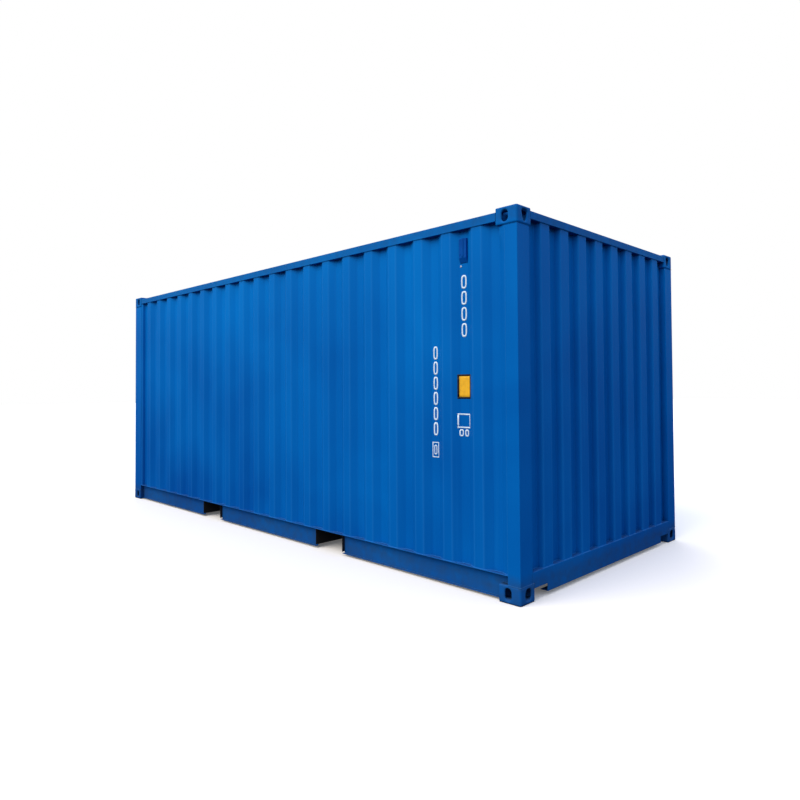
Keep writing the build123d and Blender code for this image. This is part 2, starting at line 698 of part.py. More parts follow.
for side_name, y_side in SIDES.items():
    with BuildPart() as lock_rods:
        with BuildSketch(Plane.XY.offset(SILL_KEEPER_Z)):
            with Locations(rod_places(y_side)):
                Circle(ROD_R)
        extrude(amount=HEADER_KEEPER_Z - SILL_KEEPER_Z)
        boss = 2 * (ROD_R + CAM_BOSS_WALL)
        for level in KEEPER_LEVELS:
            with BuildSketch(Plane.XY.offset(level - CAM_H / 2)):
                with Locations(rod_places(y_side)):
                    Rectangle(boss, boss)
                    Rectangle(CAM_T, CAM_L)
            extrude(amount=CAM_H)
    keep(lock_rods.part, f"lock_rods_{side_name}")

    with BuildPart() as rod_brackets:
        strap_x = ROD_X - ROD_R - ROD_CLEAR
        strap_y = ROD_R + ROD_CLEAR
        for level in BRACKET_LEVELS:
            for _, rod_y in rod_places(y_side):
                with BuildSketch(Plane.XY.offset(level - BRACKET_H / 2)):
                    strap_line = [
                        (LEAF_FACE, rod_y - BRACKET_W / 2),
                        (LEAF_FACE, rod_y - strap_y),
                        (strap_x, rod_y - strap_y),
                        (strap_x, rod_y + strap_y),
                        (LEAF_FACE, rod_y + strap_y),
                        (LEAF_FACE, rod_y + BRACKET_W / 2),
                    ]
                    bent_sheet(strap_line, BRACKET_PLATE)
                extrude(amount=BRACKET_H)
    keep(rod_brackets.part, f"rod_brackets_{side_name}")


# Cam keepers: bent hooks on the header and the sill that hold the cams in
with BuildPart() as cam_keepers:
    hook_x = ROD_X - CAM_T / 2 - KEEPER_CLEAR - KEEPER_PLATE
    hook_y = CAM_L / 2 + KEEPER_CLEAR + KEEPER_PLATE
    for level in KEEPER_LEVELS:
        for _, rod_y in rod_places(-1) + rod_places(1):
            with BuildSketch(Plane.XY.offset(level - KEEPER_H / 2)):
                keeper_line = [
                    (hook_x, rod_y - KEEPER_MOUTH / 2),
                    (hook_x, rod_y - hook_y),
                    (HEADER_FACE, rod_y - hook_y),
                    (HEADER_FACE, rod_y + hook_y),
                    (hook_x, rod_y + hook_y),
                    (hook_x, rod_y + KEEPER_MOUTH / 2),
                ]
                bent_sheet(keeper_line, KEEPER_PLATE)
            extrude(amount=KEEPER_H)
keep(cam_keepers.part, "cam_keepers")


# Door handles: a square hub on each rod and a flat lever that lies in a cradle on the leaf
HANDLE_LEVELS = (LEAF_LOW + HANDLE_HIGH, LEAF_LOW + HANDLE_LOW)

for side_name, y_side in SIDES.items():
    with BuildPart() as door_handles:
        hub_inside = 2 * (ROD_R + ROD_CLEAR)
        hub_outside = hub_inside + 2 * HUB_WALL
        for (rod_x, rod_y), level, across in zip(rod_places(y_side), HANDLE_LEVELS, (y_side, -y_side)):
            with BuildSketch(Plane.XY.offset(level - HUB_H / 2)):
                with Locations((rod_x, rod_y)):
                    Rectangle(hub_outside, hub_outside)
                    Rectangle(hub_inside, hub_inside, mode=Mode.SUBTRACT)
            extrude(amount=HUB_H)
            with BuildSketch(Plane.YZ.offset(rod_x - LEVER_T / 2)):
                with Locations((rod_y + across * (hub_outside / 2 + LEVER_L) / 2, level)):
                    Rectangle(LEVER_L - hub_outside / 2, LEVER_H)
            extrude(amount=LEVER_T)
    keep(door_handles.part, f"door_handles_{side_name}")

with BuildPart() as handle_catches:
    cradle_x = ROD_X - LEVER_T / 2 - CATCH_CLEAR - CATCH_PLATE
    cradle_half = LEVER_H / 2 + CATCH_CLEAR + CATCH_PLATE
    for y_side in SIDES.values():
        for level in HANDLE_LEVELS:
            with BuildSketch(Plane.XZ.offset(-y_side * LEAF_MIDDLE)):
                cradle_line = [
                    (cradle_x, level - cradle_half + CATCH_LIP),
                    (cradle_x, level - cradle_half),
                    (LEAF_FACE, level - cradle_half),
                    (LEAF_FACE, level + cradle_half),
                ]
                bent_sheet(cradle_line, CATCH_PLATE)
            extrude(amount=CATCH_W / 2, both=True)
keep(handle_catches.part, "handle_catches")


# Hinges: tapered blades on the leaves, turning on pins held by lugs on the posts
HINGE_X = LEAF_FACE - HINGE_STANDOFF
HINGE_Y = JAMB_Y - HINGE_REACH
HINGE_STEP = (LEAF_H - 2 * HINGE_END) / (HINGES - 1)
HINGE_LEVELS = [LEAF_LOW + HINGE_END + place * HINGE_STEP for place in range(HINGES)]

for side_name, y_side in SIDES.items():
    with BuildPart() as door_hinges:
        for level in HINGE_LEVELS:
            with BuildSketch(Plane.XY.offset(level - KNUCKLE_H / 2)):
                with Locations((HINGE_X, y_side * HINGE_Y)):
                    Circle(KNUCKLE_R)
                with Locations((LEAF_FACE - BLADE_T / 2, y_side * (HINGE_Y - BLADE_L / 2))):
                    Rectangle(BLADE_T, BLADE_L)
                make_hull()
                with Locations((HINGE_X, y_side * HINGE_Y)):
                    Circle(PIN_R + PIN_CLEAR, mode=Mode.SUBTRACT)
            extrude(amount=KNUCKLE_H)
    keep(door_hinges.part, f"door_hinges_{side_name}")

with BuildPart() as hinge_pins:
    lug_offset = KNUCKLE_H / 2 + LUG_CLEAR + LUG_T / 2
    for y_side in SIDES.values():
        nose_y = y_side * (HINGE_Y - KNUCKLE_R)
        lug_outline = [
            (HINGE_X - KNUCKLE_R, y_side * JAMB_Y),
            (HINGE_X + KNUCKLE_R, y_side * JAMB_Y),
            (HINGE_X + KNUCKLE_R, y_side * HINGE_Y),
            (HINGE_X + KNUCKLE_R / 2, nose_y),
            (HINGE_X - KNUCKLE_R / 2, nose_y),
            (HINGE_X - KNUCKLE_R, y_side * HINGE_Y),
        ]
        for level in HINGE_LEVELS:
            with Locations((HINGE_X, y_side * HINGE_Y, level)):
                Cylinder(PIN_R, 2 * lug_offset)
            for lug_z in (level - lug_offset, level + lug_offset):
                with BuildSketch(Plane.XY.offset(lug_z)):
                    Polygon(*lug_outline, align=None)
                extrude(amount=LUG_T / 2, both=True)
keep(hinge_pins.part, "hinge_pins")


# Ventilators: a ridged cover with a hooded foot, on a recess floor, front right and rear left
VENT_LOW = RAIL_BOTTOM - VENT_DROP - VENT_FACE_H - VENT_HOOD
VENT_PLACES = {"right": recess_centre(RECESSES_FRONT - 1), "left": recess_centre(1 - RECESSES_REAR)}
vent_outline = [
    (-VENT_W / 2, 0),
    (VENT_W / 2, 0),
    (VENT_W / 2, VENT_DEPTH),
    (VENT_RIDGE_W / 2, VENT_DEPTH),
    (VENT_RIDGE_W / 2, VENT_DEPTH + VENT_RIDGE_H),
    (-VENT_RIDGE_W / 2, VENT_DEPTH + VENT_RIDGE_H),
    (-VENT_RIDGE_W / 2, VENT_DEPTH),
    (-VENT_W / 2, VENT_DEPTH),
]

for side_name, y_side in SIDES.items():
    vent_x = VENT_PLACES[side_name]
    with BuildPart() as ventilator:
        with BuildSketch(Plane.XY.offset(VENT_LOW)):
            cover = [(vent_x + along, y_side * (RECESS_FLOOR + out)) for along, out in vent_outline]
            Polygon(*cover, align=None)
        extrude(amount=VENT_FACE_H + VENT_HOOD)
        with BuildSketch(Plane.YZ.offset(vent_x)):
            foot = y_side * (RECESS_FLOOR + VENT_EDGE)
            front = y_side * (RECESS_FLOOR + VENT_DEPTH + VENT_RIDGE_H)
            Polygon((foot, VENT_LOW), (front, VENT_LOW), (front, VENT_LOW + VENT_HOOD), align=None)
        extrude(amount=VENT_W, both=True, mode=Mode.SUBTRACT)
    keep(ventilator.part, f"ventilator_{side_name}")
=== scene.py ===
# %% [markdown]
# # A blue freight container
# The real thing is a welded steel box twenty feet long, shot-blasted, primed and sprayed blue after
# welding. Its frame, castings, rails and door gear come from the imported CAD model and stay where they
# are. This script dresses them: it presses the thin sheets again with soft bends, lays the weld beads,
# bolts and films that the CAD leaves out, and mixes the paint, zinc, rubber, plywood and wax.

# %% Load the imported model
import json
from bisect import bisect_right
from math import atan2, cos, pi, radians, sin, tan

import bmesh
import bpy
from mathutils import Matrix, Vector


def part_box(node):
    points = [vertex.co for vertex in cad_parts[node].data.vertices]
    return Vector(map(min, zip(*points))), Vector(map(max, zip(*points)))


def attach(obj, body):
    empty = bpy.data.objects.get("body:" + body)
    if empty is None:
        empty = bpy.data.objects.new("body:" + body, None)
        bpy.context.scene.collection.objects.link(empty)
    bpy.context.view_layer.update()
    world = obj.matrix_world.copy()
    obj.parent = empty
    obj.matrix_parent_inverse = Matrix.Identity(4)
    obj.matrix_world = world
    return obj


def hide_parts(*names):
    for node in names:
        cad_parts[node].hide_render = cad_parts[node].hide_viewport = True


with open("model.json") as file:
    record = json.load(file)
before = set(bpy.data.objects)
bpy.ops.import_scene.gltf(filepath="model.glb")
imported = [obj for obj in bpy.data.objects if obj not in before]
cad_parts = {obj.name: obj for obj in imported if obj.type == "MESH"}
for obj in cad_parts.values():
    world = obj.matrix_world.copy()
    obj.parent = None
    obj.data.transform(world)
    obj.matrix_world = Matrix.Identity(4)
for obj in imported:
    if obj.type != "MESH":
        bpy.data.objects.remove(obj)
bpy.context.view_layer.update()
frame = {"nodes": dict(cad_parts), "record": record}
nodes = frame["nodes"]

# %% [markdown]
# ## Camera
# The photograph was taken from off the front right corner, about 1.4 m above the ground, with a short
# lens. The six outer corners that it shows fix where the camera stood. A camera could be aimed with a
# constraint, but three angles written out say plainly how it was held, and a small shift stands for the
# photograph having been cropped off centre.

# %% Camera at the photograph's angle
IMAGE = 800
FOCAL_PX = 632.58
CENTRE_PX = (420.0, 372.62)
CAMERA_PLACE = Vector((5.39338, -4.57348, 1.40613))
YAW, PITCH, ROLL = radians(44.032), radians(1.330), radians(-0.388)

ahead = Vector((-sin(YAW) * cos(PITCH), cos(YAW) * cos(PITCH), sin(PITCH)))
level_right = ahead.cross(Vector((0, 0, 1))).normalized()
level_up = level_right.cross(ahead)
right = level_right * cos(ROLL) + level_up * sin(ROLL)
up = level_up * cos(ROLL) - level_right * sin(ROLL)
aim = Matrix((right, up, -ahead)).transposed().to_4x4()

lens = bpy.data.cameras.new("photo_camera")
lens.sensor_width = 36
lens.lens = FOCAL_PX / IMAGE * lens.sensor_width
lens.shift_x = (IMAGE / 2 - CENTRE_PX[0]) / IMAGE
lens.shift_y = (CENTRE_PX[1] - IMAGE / 2) / IMAGE
lens.clip_end = 200
camera = bpy.data.objects.new("photo_camera", lens)
camera.matrix_world = Matrix.Translation(CAMERA_PLACE) @ aim
bpy.context.scene.collection.objects.link(camera)
bpy.context.scene.camera = camera
print("lens", round(lens.lens, 2), "mm, shift", round(lens.shift_x, 3), round(lens.shift_y, 3))

# %% [markdown]
# ## Mixing materials
# Colours are picked as the sRGB values seen on a screen, and shaders work in linear light, so one
# function turns one into the other. A second small function adds a node, sets it and links it. Every
# finish below is written with these two.

# %% Colour and node helpers
def linear(code):
    channels = [int(code[i:i + 2], 16) / 255 for i in (1, 3, 5)]
    return (*[c / 12.92 if c <= 0.04045 else ((c + 0.055) / 1.055) ** 2.4 for c in channels], 1)


def add(tree, kind, inputs, **settings):
    node = tree.nodes.new(kind)
    for name, value in settings.items():
        setattr(node, name, value)
    for name, value in inputs.items():
        if isinstance(value, bpy.types.NodeSocket):
            tree.links.new(value, node.inputs[name])
        else:
            node.inputs[name].default_value = value
    return node


def new_finish(name):
    finish = bpy.data.materials.new(name)
    finish.use_nodes = True
    tree = finish.node_tree
    shader = tree.nodes["Principled BSDF"]
    place = add(tree, "ShaderNodeTexCoord", {}).outputs["Object"]
    return finish, tree, shader, place


def per_metre(size_mm):
    return 1000 / size_mm


print("sRGB #0060AE in linear light", [round(v, 3) for v in linear("#0060AE")])

# %% [markdown]
# ## Sprayed alkyd paint on steel
# A container is sprayed by hand. To the eye that gives a satin skin with cloudy patches about a metre
# wide where the coats overlap, and faint streaks that rain leaves down the folds. Each is a noise
# texture in metres: a wide one for the coats, and one squeezed along the height for the streaks. The
# coats also carry painted light and shade: lighter towards the top and darker low down. A painted
# picture would show its pixels close up, and noise never does.

# %% Blue paint: coats and streaks
CLOUD_MM = 1150
STREAK_MM = 34
STREAK_SQUEEZE = 0.02

blue_paint, tree, shader, place = new_finish("sprayed_alkyd_paint")
clouds = add(tree, "ShaderNodeTexNoise", {"Vector": place, "Scale": per_metre(CLOUD_MM), "Detail": 3.0,
                                          "Roughness": 0.45, "Distortion": 0.3})
height = add(tree, "ShaderNodeSeparateXYZ", {"Vector": place})
# painted light and shade: the blue is lighter towards the top and darker low down
painted_height_light = add(tree, "ShaderNodeMapRange", {"Value": height.outputs["Z"], "From Min": 0.4, "From Max": 2.4,
                                          "To Min": -0.11, "To Max": 0.20})
coats_and_height_light = add(tree, "ShaderNodeMath", {0: clouds.outputs["Fac"], 1: 0.6, 2: painted_height_light.outputs["Result"]},
               operation="MULTIPLY_ADD")
overlap = add(tree, "ShaderNodeMapRange", {"Value": coats_and_height_light.outputs["Value"], "From Min": 0.05,
                                           "From Max": 0.60})
coats = add(tree, "ShaderNodeMix", {"Factor": overlap.outputs["Result"], "A": linear("#004B9A"),
                                    "B": linear("#007ACB")}, data_type="RGBA")
squeezed = add(tree, "ShaderNodeMapping", {"Vector": place, "Scale": (1, 1, STREAK_SQUEEZE)})
streaks = add(tree, "ShaderNodeTexNoise", {"Vector": squeezed.outputs["Vector"],
                                           "Scale": per_metre(STREAK_MM), "Detail": 2.0})
washed = add(tree, "ShaderNodeMapRange", {"Value": streaks.outputs["Fac"], "From Min": 0.58,
                                          "From Max": 0.80, "To Max": 0.14})
streaked = add(tree, "ShaderNodeMix", {"Factor": washed.outputs["Result"], "A": coats.outputs["Result"],
                                       "B": linear("#1F7FC6")}, data_type="RGBA")
print("coats and streaks", len(tree.nodes), "nodes")

# %% [markdown]
# Edges and outer folds are painted paler. On an edge that is partly paint that pulls thin over it and
# partly a painted highlight where the edge catches the light. The Bevel node gives a normal that is
# averaged over a few millimetres, so where it differs from the true normal there is an edge. The soft
# folds of the walls are too round for that, so the sheets carry a number for each point that marks
# their outer folds, and there the paler blue is a painted highlight. Where a piece has no such number
# it reads as nought.

# %% Blue paint: edges and folds
EDGE_REACH = 0.008
FOLD_HIGHLIGHT = 0.15

surface = add(tree, "ShaderNodeNewGeometry", {})
averaged = add(tree, "ShaderNodeBevel", {"Radius": EDGE_REACH}, samples=6)
same = add(tree, "ShaderNodeVectorMath", {0: surface.outputs["Normal"], 1: averaged.outputs["Normal"]},
           operation="DOT_PRODUCT")
edge = add(tree, "ShaderNodeMapRange", {"Value": same.outputs["Value"], "From Min": 0.995,
                                        "From Max": 0.80, "To Max": 0.34})
folds = add(tree, "ShaderNodeAttribute", {}, attribute_name="fold_highlight")
# painted highlight: edges and outer folds turn a paler blue, and on edges this is partly paint pulled thin
edge_and_fold_highlight = add(tree, "ShaderNodeMath", {0: folds.outputs["Fac"], 1: FOLD_HIGHLIGHT, 2: edge.outputs["Result"]},
             operation="MULTIPLY_ADD", use_clamp=True)
highlighted_paint = add(tree, "ShaderNodeMix", {"Factor": edge_and_fold_highlight.outputs["Value"], "A": streaked.outputs["Result"],
                                      "B": linear("#2E86CC")}, data_type="RGBA")
print("edges and folds", len(tree.nodes), "nodes")

# %% [markdown]
# Dust settles on faces that look up, and the makers spray the underside of the base with dark wax
# against salt, so both follow the height of the normal.

# %% Blue paint: dust and wax
SPECK_MM = 60
WAX_LOW, WAX_TOP = 0.185, 0.205

facing = add(tree, "ShaderNodeSeparateXYZ", {"Vector": surface.outputs["Normal"]})
specks = add(tree, "ShaderNodeTexNoise", {"Vector": place, "Scale": per_metre(SPECK_MM), "Detail": 4.0})
upward = add(tree, "ShaderNodeMapRange", {"Value": facing.outputs["Z"], "From Min": 0.5, "From Max": 1.0,
                                          "To Max": 0.6})
settled = add(tree, "ShaderNodeMath", {0: upward.outputs["Result"], 1: specks.outputs["Fac"]},
              operation="MULTIPLY")
dusty = add(tree, "ShaderNodeMix", {"Factor": settled.outputs["Value"], "A": highlighted_paint.outputs["Result"],
                                    "B": linear("#4A6480")}, data_type="RGBA")
downward = add(tree, "ShaderNodeMapRange", {"Value": facing.outputs["Z"], "From Min": -0.3,
                                            "From Max": -0.8, "To Max": 0.9})
low = add(tree, "ShaderNodeMapRange", {"Value": height.outputs["Z"], "From Min": WAX_TOP,
                                       "From Max": WAX_LOW})
sprayed = add(tree, "ShaderNodeMath", {0: downward.outputs["Result"], 1: low.outputs["Result"]},
              operation="MULTIPLY")
waxed = add(tree, "ShaderNodeMix", {"Factor": sprayed.outputs["Value"], "A": dusty.outputs["Result"],
                                    "B": linear("#17191C")}, data_type="RGBA")
print("dust and wax", len(tree.nodes), "nodes")

# %% [markdown]
# Painted shade darkens the paint where a spot is shut in: under the rails, in the folds' upper corners
# and in the holes of the castings. The Ambient Occlusion node measures how shut in a spot is. Wheels
# and forks throw road dirt at the lowest hand's breadth of the frame, so a grey film fades out with
# the height. The top rails and the roof stand in the sun, and there the blue has chalked to a duller
# tone.

# %% Blue paint: painted shade and grime
SHADE_REACH = 0.12
SPLASH_LOW, SPLASH_TOP = 0.12, 0.20
EXPOSED_LOW, EXPOSED_TOP = 2.47, 2.52

# painted shade: shut-in spots turn towards a near-black blue
occlusion_measure = add(tree, "ShaderNodeAmbientOcclusion", {"Distance": SHADE_REACH}, samples=6)
painted_shade_share = add(tree, "ShaderNodeMapRange", {"Value": occlusion_measure.outputs["AO"], "From Min": 0.56,
                                           "From Max": 0.16, "To Max": 0.85})
with_painted_shade = add(tree, "ShaderNodeMix", {"Factor": painted_shade_share.outputs["Result"], "A": waxed.outputs["Result"],
                                    "B": linear("#001A3C")}, data_type="RGBA")
near_ground = add(tree, "ShaderNodeMapRange", {"Value": height.outputs["Z"], "From Min": SPLASH_TOP,
                                               "From Max": SPLASH_LOW, "To Max": 0.70})
thrown = add(tree, "ShaderNodeMath", {0: near_ground.outputs["Result"], 1: specks.outputs["Fac"]},
             operation="MULTIPLY")
splashed = add(tree, "ShaderNodeMix", {"Factor": thrown.outputs["Value"], "A": with_painted_shade.outputs["Result"],
                                       "B": linear("#2E3C45")}, data_type="RGBA")
weathered = add(tree, "ShaderNodeMapRange", {"Value": height.outputs["Z"], "From Min": EXPOSED_LOW,
                                             "From Max": EXPOSED_TOP, "To Max": 0.55})
chalked = add(tree, "ShaderNodeMath", {0: weathered.outputs["Result"], 1: specks.outputs["Fac"]},
              operation="MULTIPLY")
greyed = add(tree, "ShaderNodeMix", {"Factor": chalked.outputs["Value"], "A": splashed.outputs["Result"],
                                     "B": linear("#24405C")}, data_type="RGBA")
tree.links.new(greyed.outputs["Result"], shader.inputs["Base Color"])
print("grime", len(tree.nodes), "nodes")

# %% [markdown]
# The gloss is a dull satin that changes a little from coat to coat. Weather has taken nearly all of the
# clear shine, so the specular level is far below a new paint's. Orange peel on such paint has a grain
# of about 2 mm, which is too fine to show here, so it is drawn at 14 mm.

# %% Blue paint: gloss and orange peel
PEEL_MM = 14

gloss = add(tree, "ShaderNodeMapRange", {"Value": clouds.outputs["Fac"], "From Min": 0.3, "From Max": 0.7,
                                         "To Min": 0.46, "To Max": 0.58})
tree.links.new(gloss.outputs["Result"], shader.inputs["Roughness"])
peel = add(tree, "ShaderNodeTexNoise", {"Vector": place, "Scale": per_metre(PEEL_MM), "Detail": 2.0})
bump = add(tree, "ShaderNodeBump", {"Height": peel.outputs["Fac"], "Strength": 0.10, "Distance": 0.001})
tree.links.new(bump.outputs["Normal"], shader.inputs["Normal"])
shader.inputs["IOR"].default_value = 1.5
shader.inputs["Specular IOR Level"].default_value = 0.03
print("paint", len(tree.nodes), "nodes")

# %% [markdown]
# ## Zinc
# Lock rods, hinges and keepers are dipped in molten zinc, which sets as a grey metal with a crystal
# spangle some 12 mm across. To the eye it is dull, with a gloss that changes from crystal to crystal. A
# Voronoi texture has one value for each of its cells, so it serves better here than a noise.

# %% Zinc
SPANGLE_MM = 12

zinc, tree, shader, place = new_finish("hot_dip_zinc")
spangle = add(tree, "ShaderNodeTexVoronoi", {"Vector": place, "Scale": per_metre(SPANGLE_MM)})
crystal = add(tree, "ShaderNodeSeparateColor", {"Color": spangle.outputs["Color"]})
grey = add(tree, "ShaderNodeMix", {"Factor": crystal.outputs["Red"], "A": linear("#A3A8AC"),
                                   "B": linear("#C2C6C9")}, data_type="RGBA")
dull = add(tree, "ShaderNodeMapRange", {"Value": crystal.outputs["Green"], "To Min": 0.38, "To Max": 0.58})
tree.links.new(grey.outputs["Result"], shader.inputs["Base Color"])
tree.links.new(dull.outputs["Result"], shader.inputs["Roughness"])
shader.inputs["Metallic"].default_value = 0.7
print("zinc spangle", SPANGLE_MM, "mm")

# %% [markdown]
# ## Plywood
# The floor is tropical plywood. Its veneers are peeled from the log, so the grain runs long, and it is
# sealed brown against wet. A noise stretched along the boards gives that grain. Rings, as in sawn wood,
# would be wrong for a peeled veneer.

# %% Plywood
GRAIN_MM = 9
GRAIN_STRETCH = 0.06

plywood, tree, shader, place = new_finish("sealed_plywood")
along_grain = add(tree, "ShaderNodeMapping", {"Vector": place, "Scale": (GRAIN_STRETCH, 1, 1)})
grain = add(tree, "ShaderNodeTexNoise", {"Vector": along_grain.outputs["Vector"],
                                         "Scale": per_metre(GRAIN_MM), "Detail": 4.0, "Roughness": 0.6})
brown = add(tree, "ShaderNodeMix", {"Factor": grain.outputs["Fac"], "A": linear("#5A3C24"),
                                    "B": linear("#96683F")}, data_type="RGBA")
tree.links.new(brown.outputs["Result"], shader.inputs["Base Color"])
shader.inputs["Roughness"].default_value = 0.55
shader.inputs["IOR"].default_value = 1.5
print("plywood grain", GRAIN_MM, "mm")

# %% [markdown]
# ## Rubber, ventilator blue and wax
# The door seal is EPDM rubber, matt and nearly black, with a pale bloom. The ventilators get a deeper
# blue than the walls, which is painted shade for covers that sit in a recess of the wall. Cross
# members and fork pockets get underbody wax, brown-black and sagging, and inside the fork pockets its
# darkness is also painted shade. All three drift between two tones in soft patches, so one function
# mixes them.

# %% Rubber, ventilator blue and wax
BLOOM_MM, SAG_MM = 45, 80


def mottled(name, patch_mm, detail, dark, pale, roughness, ior, specular=0.5):
    """A finish whose colour drifts between two tones."""
    finish, tree, shader, place = new_finish(name)
    patches = add(tree, "ShaderNodeTexNoise", {"Vector": place, "Scale": per_metre(patch_mm),
                                               "Detail": detail})
    tone = add(tree, "ShaderNodeMix", {"Factor": patches.outputs["Fac"], "A": linear(dark),
                                       "B": linear(pale)}, data_type="RGBA")
    tree.links.new(tone.outputs["Result"], shader.inputs["Base Color"])
    shader.inputs["Roughness"].default_value = roughness
    shader.inputs["IOR"].default_value = ior
    shader.inputs["Specular IOR Level"].default_value = specular
    return finish


rubber = mottled("epdm_rubber", BLOOM_MM, 3.0, "#141517", "#26282B", 0.75, 1.52)
# painted shade: the ventilators and their rivets get a deeper blue than the walls
vent_shade_blue = mottled("vent_blue_painted_shade", SAG_MM, 3.0, "#003F8E", "#0058AA", 0.4, 1.5, 0.05)
# real underbody wax, whose darkness inside the fork pockets is also painted shade
wax_and_pocket_shade = mottled("underbody_wax_and_pocket_shade", SAG_MM, 4.0, "#0F0E0D", "#2A2521", 0.6, 1.45)
print("finishes", [m.name for m in (blue_paint, zinc, plywood, rubber, vent_shade_blue, wax_and_pocket_shade)])

# %% [markdown]
# ## Finish on the CAD pieces
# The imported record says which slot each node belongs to, so the finish follows that, apart from the
# few pieces with a finish of their own. Sheared plate and castings never have razor edges: a Bevel
# modifier rounds them, after a Weld modifier has joined the faces that the model file keeps apart. The
# meshes themselves stay untouched. A pressed post is rounder than a sheared plate. Castings come out of
# sand moulds, so theirs are remade from voxels and smoothed, which rounds every edge and hole alike.

# %% Dress the CAD nodes
FINISH = {"paint": blue_paint, "zinc": zinc, "rubber": rubber, "plywood": plywood}
# the fork pockets' dark wax is partly painted shade, and the ventilators' deeper blue is painted shade
OWN_FINISH = {"fork_pocket": wax_and_pocket_shade, "cross_members": wax_and_pocket_shade, "ventilator": vent_shade_blue}
EDGE_ROUND = {"front_post": 0.004, "rear_post": 0.004, "top_rail": 0.004, "front_top_rail": 0.004,
              "door_header": 0.003, "ventilator": 0.0025}
SMALL_ROUND = 0.0012
EDGE_ANGLE = radians(40)
JOIN_REACH = 0.00002
CAST_VOXEL, CAST_SMOOTHING = 0.005, 12


def own_value(table, node, otherwise):
    """What the table says for nodes whose name starts like this one."""
    return next((value for start, value in table.items() if node.startswith(start)), otherwise)


for part in frame["record"]["subparts"]:
    node = part["node"]
    piece = nodes[node]
    piece.data.materials.clear()
    piece.data.materials.append(own_value(OWN_FINISH, node, FINISH[part["material_slot"]]))
    joined = piece.modifiers.new("joined_faces", "WELD")
    joined.merge_threshold = JOIN_REACH
    if "castings" in node:
        cast = piece.modifiers.new("sand_cast", "REMESH")
        cast.mode = "VOXEL"
        cast.voxel_size = CAST_VOXEL
        cast.use_smooth_shade = True
        fettled = piece.modifiers.new("fettled", "SMOOTH")
        fettled.iterations = CAST_SMOOTHING
        continue
    eased = piece.modifiers.new("eased_edges", "BEVEL")
    eased.width = own_value(EDGE_ROUND, node, SMALL_ROUND)
    eased.segments = 3 if eased.width > SMALL_ROUND else 2
    eased.limit_method = "ANGLE"
    eased.angle_limit = EDGE_ANGLE
    eased.harden_normals = True

# %% [markdown]
# ## Pressed walls
# The side walls are pressed from sheet 1.6 mm thick. A die can't fold a sheet to a sharp line: each
# bend has a radius of about 12 mm, and that is where a wall catches the light. The CAD has the folds
# but no bends, so each wall is swept again here along the same line with its corners rounded, as a
# sheet of its true thickness, and it stands for the CAD node. A Bevel modifier on the CAD wall would
# round both faces by the same radius, which thins the sheet at each bend.

# %% Mesh helper
SHARP = radians(35)


def mesh_piece(name, points, faces, finish, slot):
    """A closed mesh as a piece of the container, smooth except at its corners."""
    mesh = bpy.data.meshes.new(name)
    mesh.from_pydata([tuple(point) for point in points], [], faces)
    shell = bmesh.new()
    shell.from_mesh(mesh)
    bmesh.ops.recalc_face_normals(shell, faces=shell.faces)
    shell.to_mesh(mesh)
    shell.free()
    mesh.shade_smooth()
    mesh.set_sharp_from_angle(angle=SHARP)
    mesh.materials.append(finish)
    piece = bpy.data.objects.new(name, mesh)
    bpy.context.scene.collection.objects.link(piece)
    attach(piece, "root")
    print(name, len(mesh.polygons), "faces")
    return piece


# %% Rounded lines
BEND_STEPS = 4
BEND_ROOM = 0.45
STEP_GAP = 0.0001


def rounded_line(line, bend_r):
    """The line with an arc in place of each corner, as points and the normals on its left."""
    corners = [Vector(point) for point in line]
    steps = [(after - before).normalized() for before, after in zip(corners, corners[1:])]
    points, normals = [corners[0]], [Vector((-steps[0].y, steps[0].x))]
    for place in range(1, len(corners) - 1):
        corner, into, out = corners[place], steps[place - 1], steps[place]
        turn = atan2(into.x * out.y - into.y * out.x, into.dot(out))
        shorter = min((corner - corners[place - 1]).length, (corners[place + 1] - corner).length)
        radius = min(bend_r, BEND_ROOM * shorter / abs(tan(turn / 2)))
        side = Vector((-into.y, into.x))
        hand = 1 if turn > 0 else -1
        centre = corner - into * radius * abs(tan(turn / 2)) + side * radius * hand
        for step in range(BEND_STEPS + 1):
            angle = turn * step / BEND_STEPS
            normal = Matrix.Rotation(angle, 2) @ side
            points.append(centre - normal * radius * hand)
            normals.append(normal)
    points.append(corners[-1])
    normals.append(Vector((-steps[-1].y, steps[-1].x)))
    return points, normals


def split_at(run, axis, place):
    """The same run with two points close together where it crosses a place, for a step in its height."""
    points, normals = run
    for i in range(len(points) - 1):
        start, stop = points[i], points[i + 1]
        if (start[axis] - place) * (stop[axis] - place) < 0:
            share = (place - start[axis]) / (stop[axis] - start[axis])
            nudge = STEP_GAP / (stop - start).length
            pair = [start.lerp(stop, share - nudge), start.lerp(stop, share + nudge)]
            return (points[:i + 1] + pair + points[i + 1:],
                    normals[:i + 1] + [normals[i]] * 2 + normals[i + 1:])
    return run


square_corner = rounded_line([(0, 0), (1, 0), (1, 1)], 0.012)
print("a right angle at 12 mm bends through", len(square_corner[0]), "points")

# %% [markdown]
# Outer folds carry a painted highlight, a paler line where a fold catches the light. The run of each
# sheet gets one more point beside every fold, about 10 mm away, and a number that is one on the fold
# and nought from that point on, so the paint can fade between them.

# %% Highlighted folds
HIGHLIGHT_REACH = 0.010
MARGIN_SHARE = 0.35
LEAST_TURN = 0.02


def with_margins(run):
    """The run with a point near both ends of each flat, where the painted highlight of a fold fades out."""
    points, normals = [run[0][0]], [run[1][0]]
    for i in range(len(run[0]) - 1):
        start, stop = run[0][i], run[0][i + 1]
        reach = HIGHLIGHT_REACH / (stop - start).length
        if reach < MARGIN_SHARE:
            points += [start.lerp(stop, reach), stop.lerp(start, reach)]
            normals += [run[1][i], run[1][i + 1]]
        points.append(stop)
        normals.append(run[1][i + 1])
    return points, normals


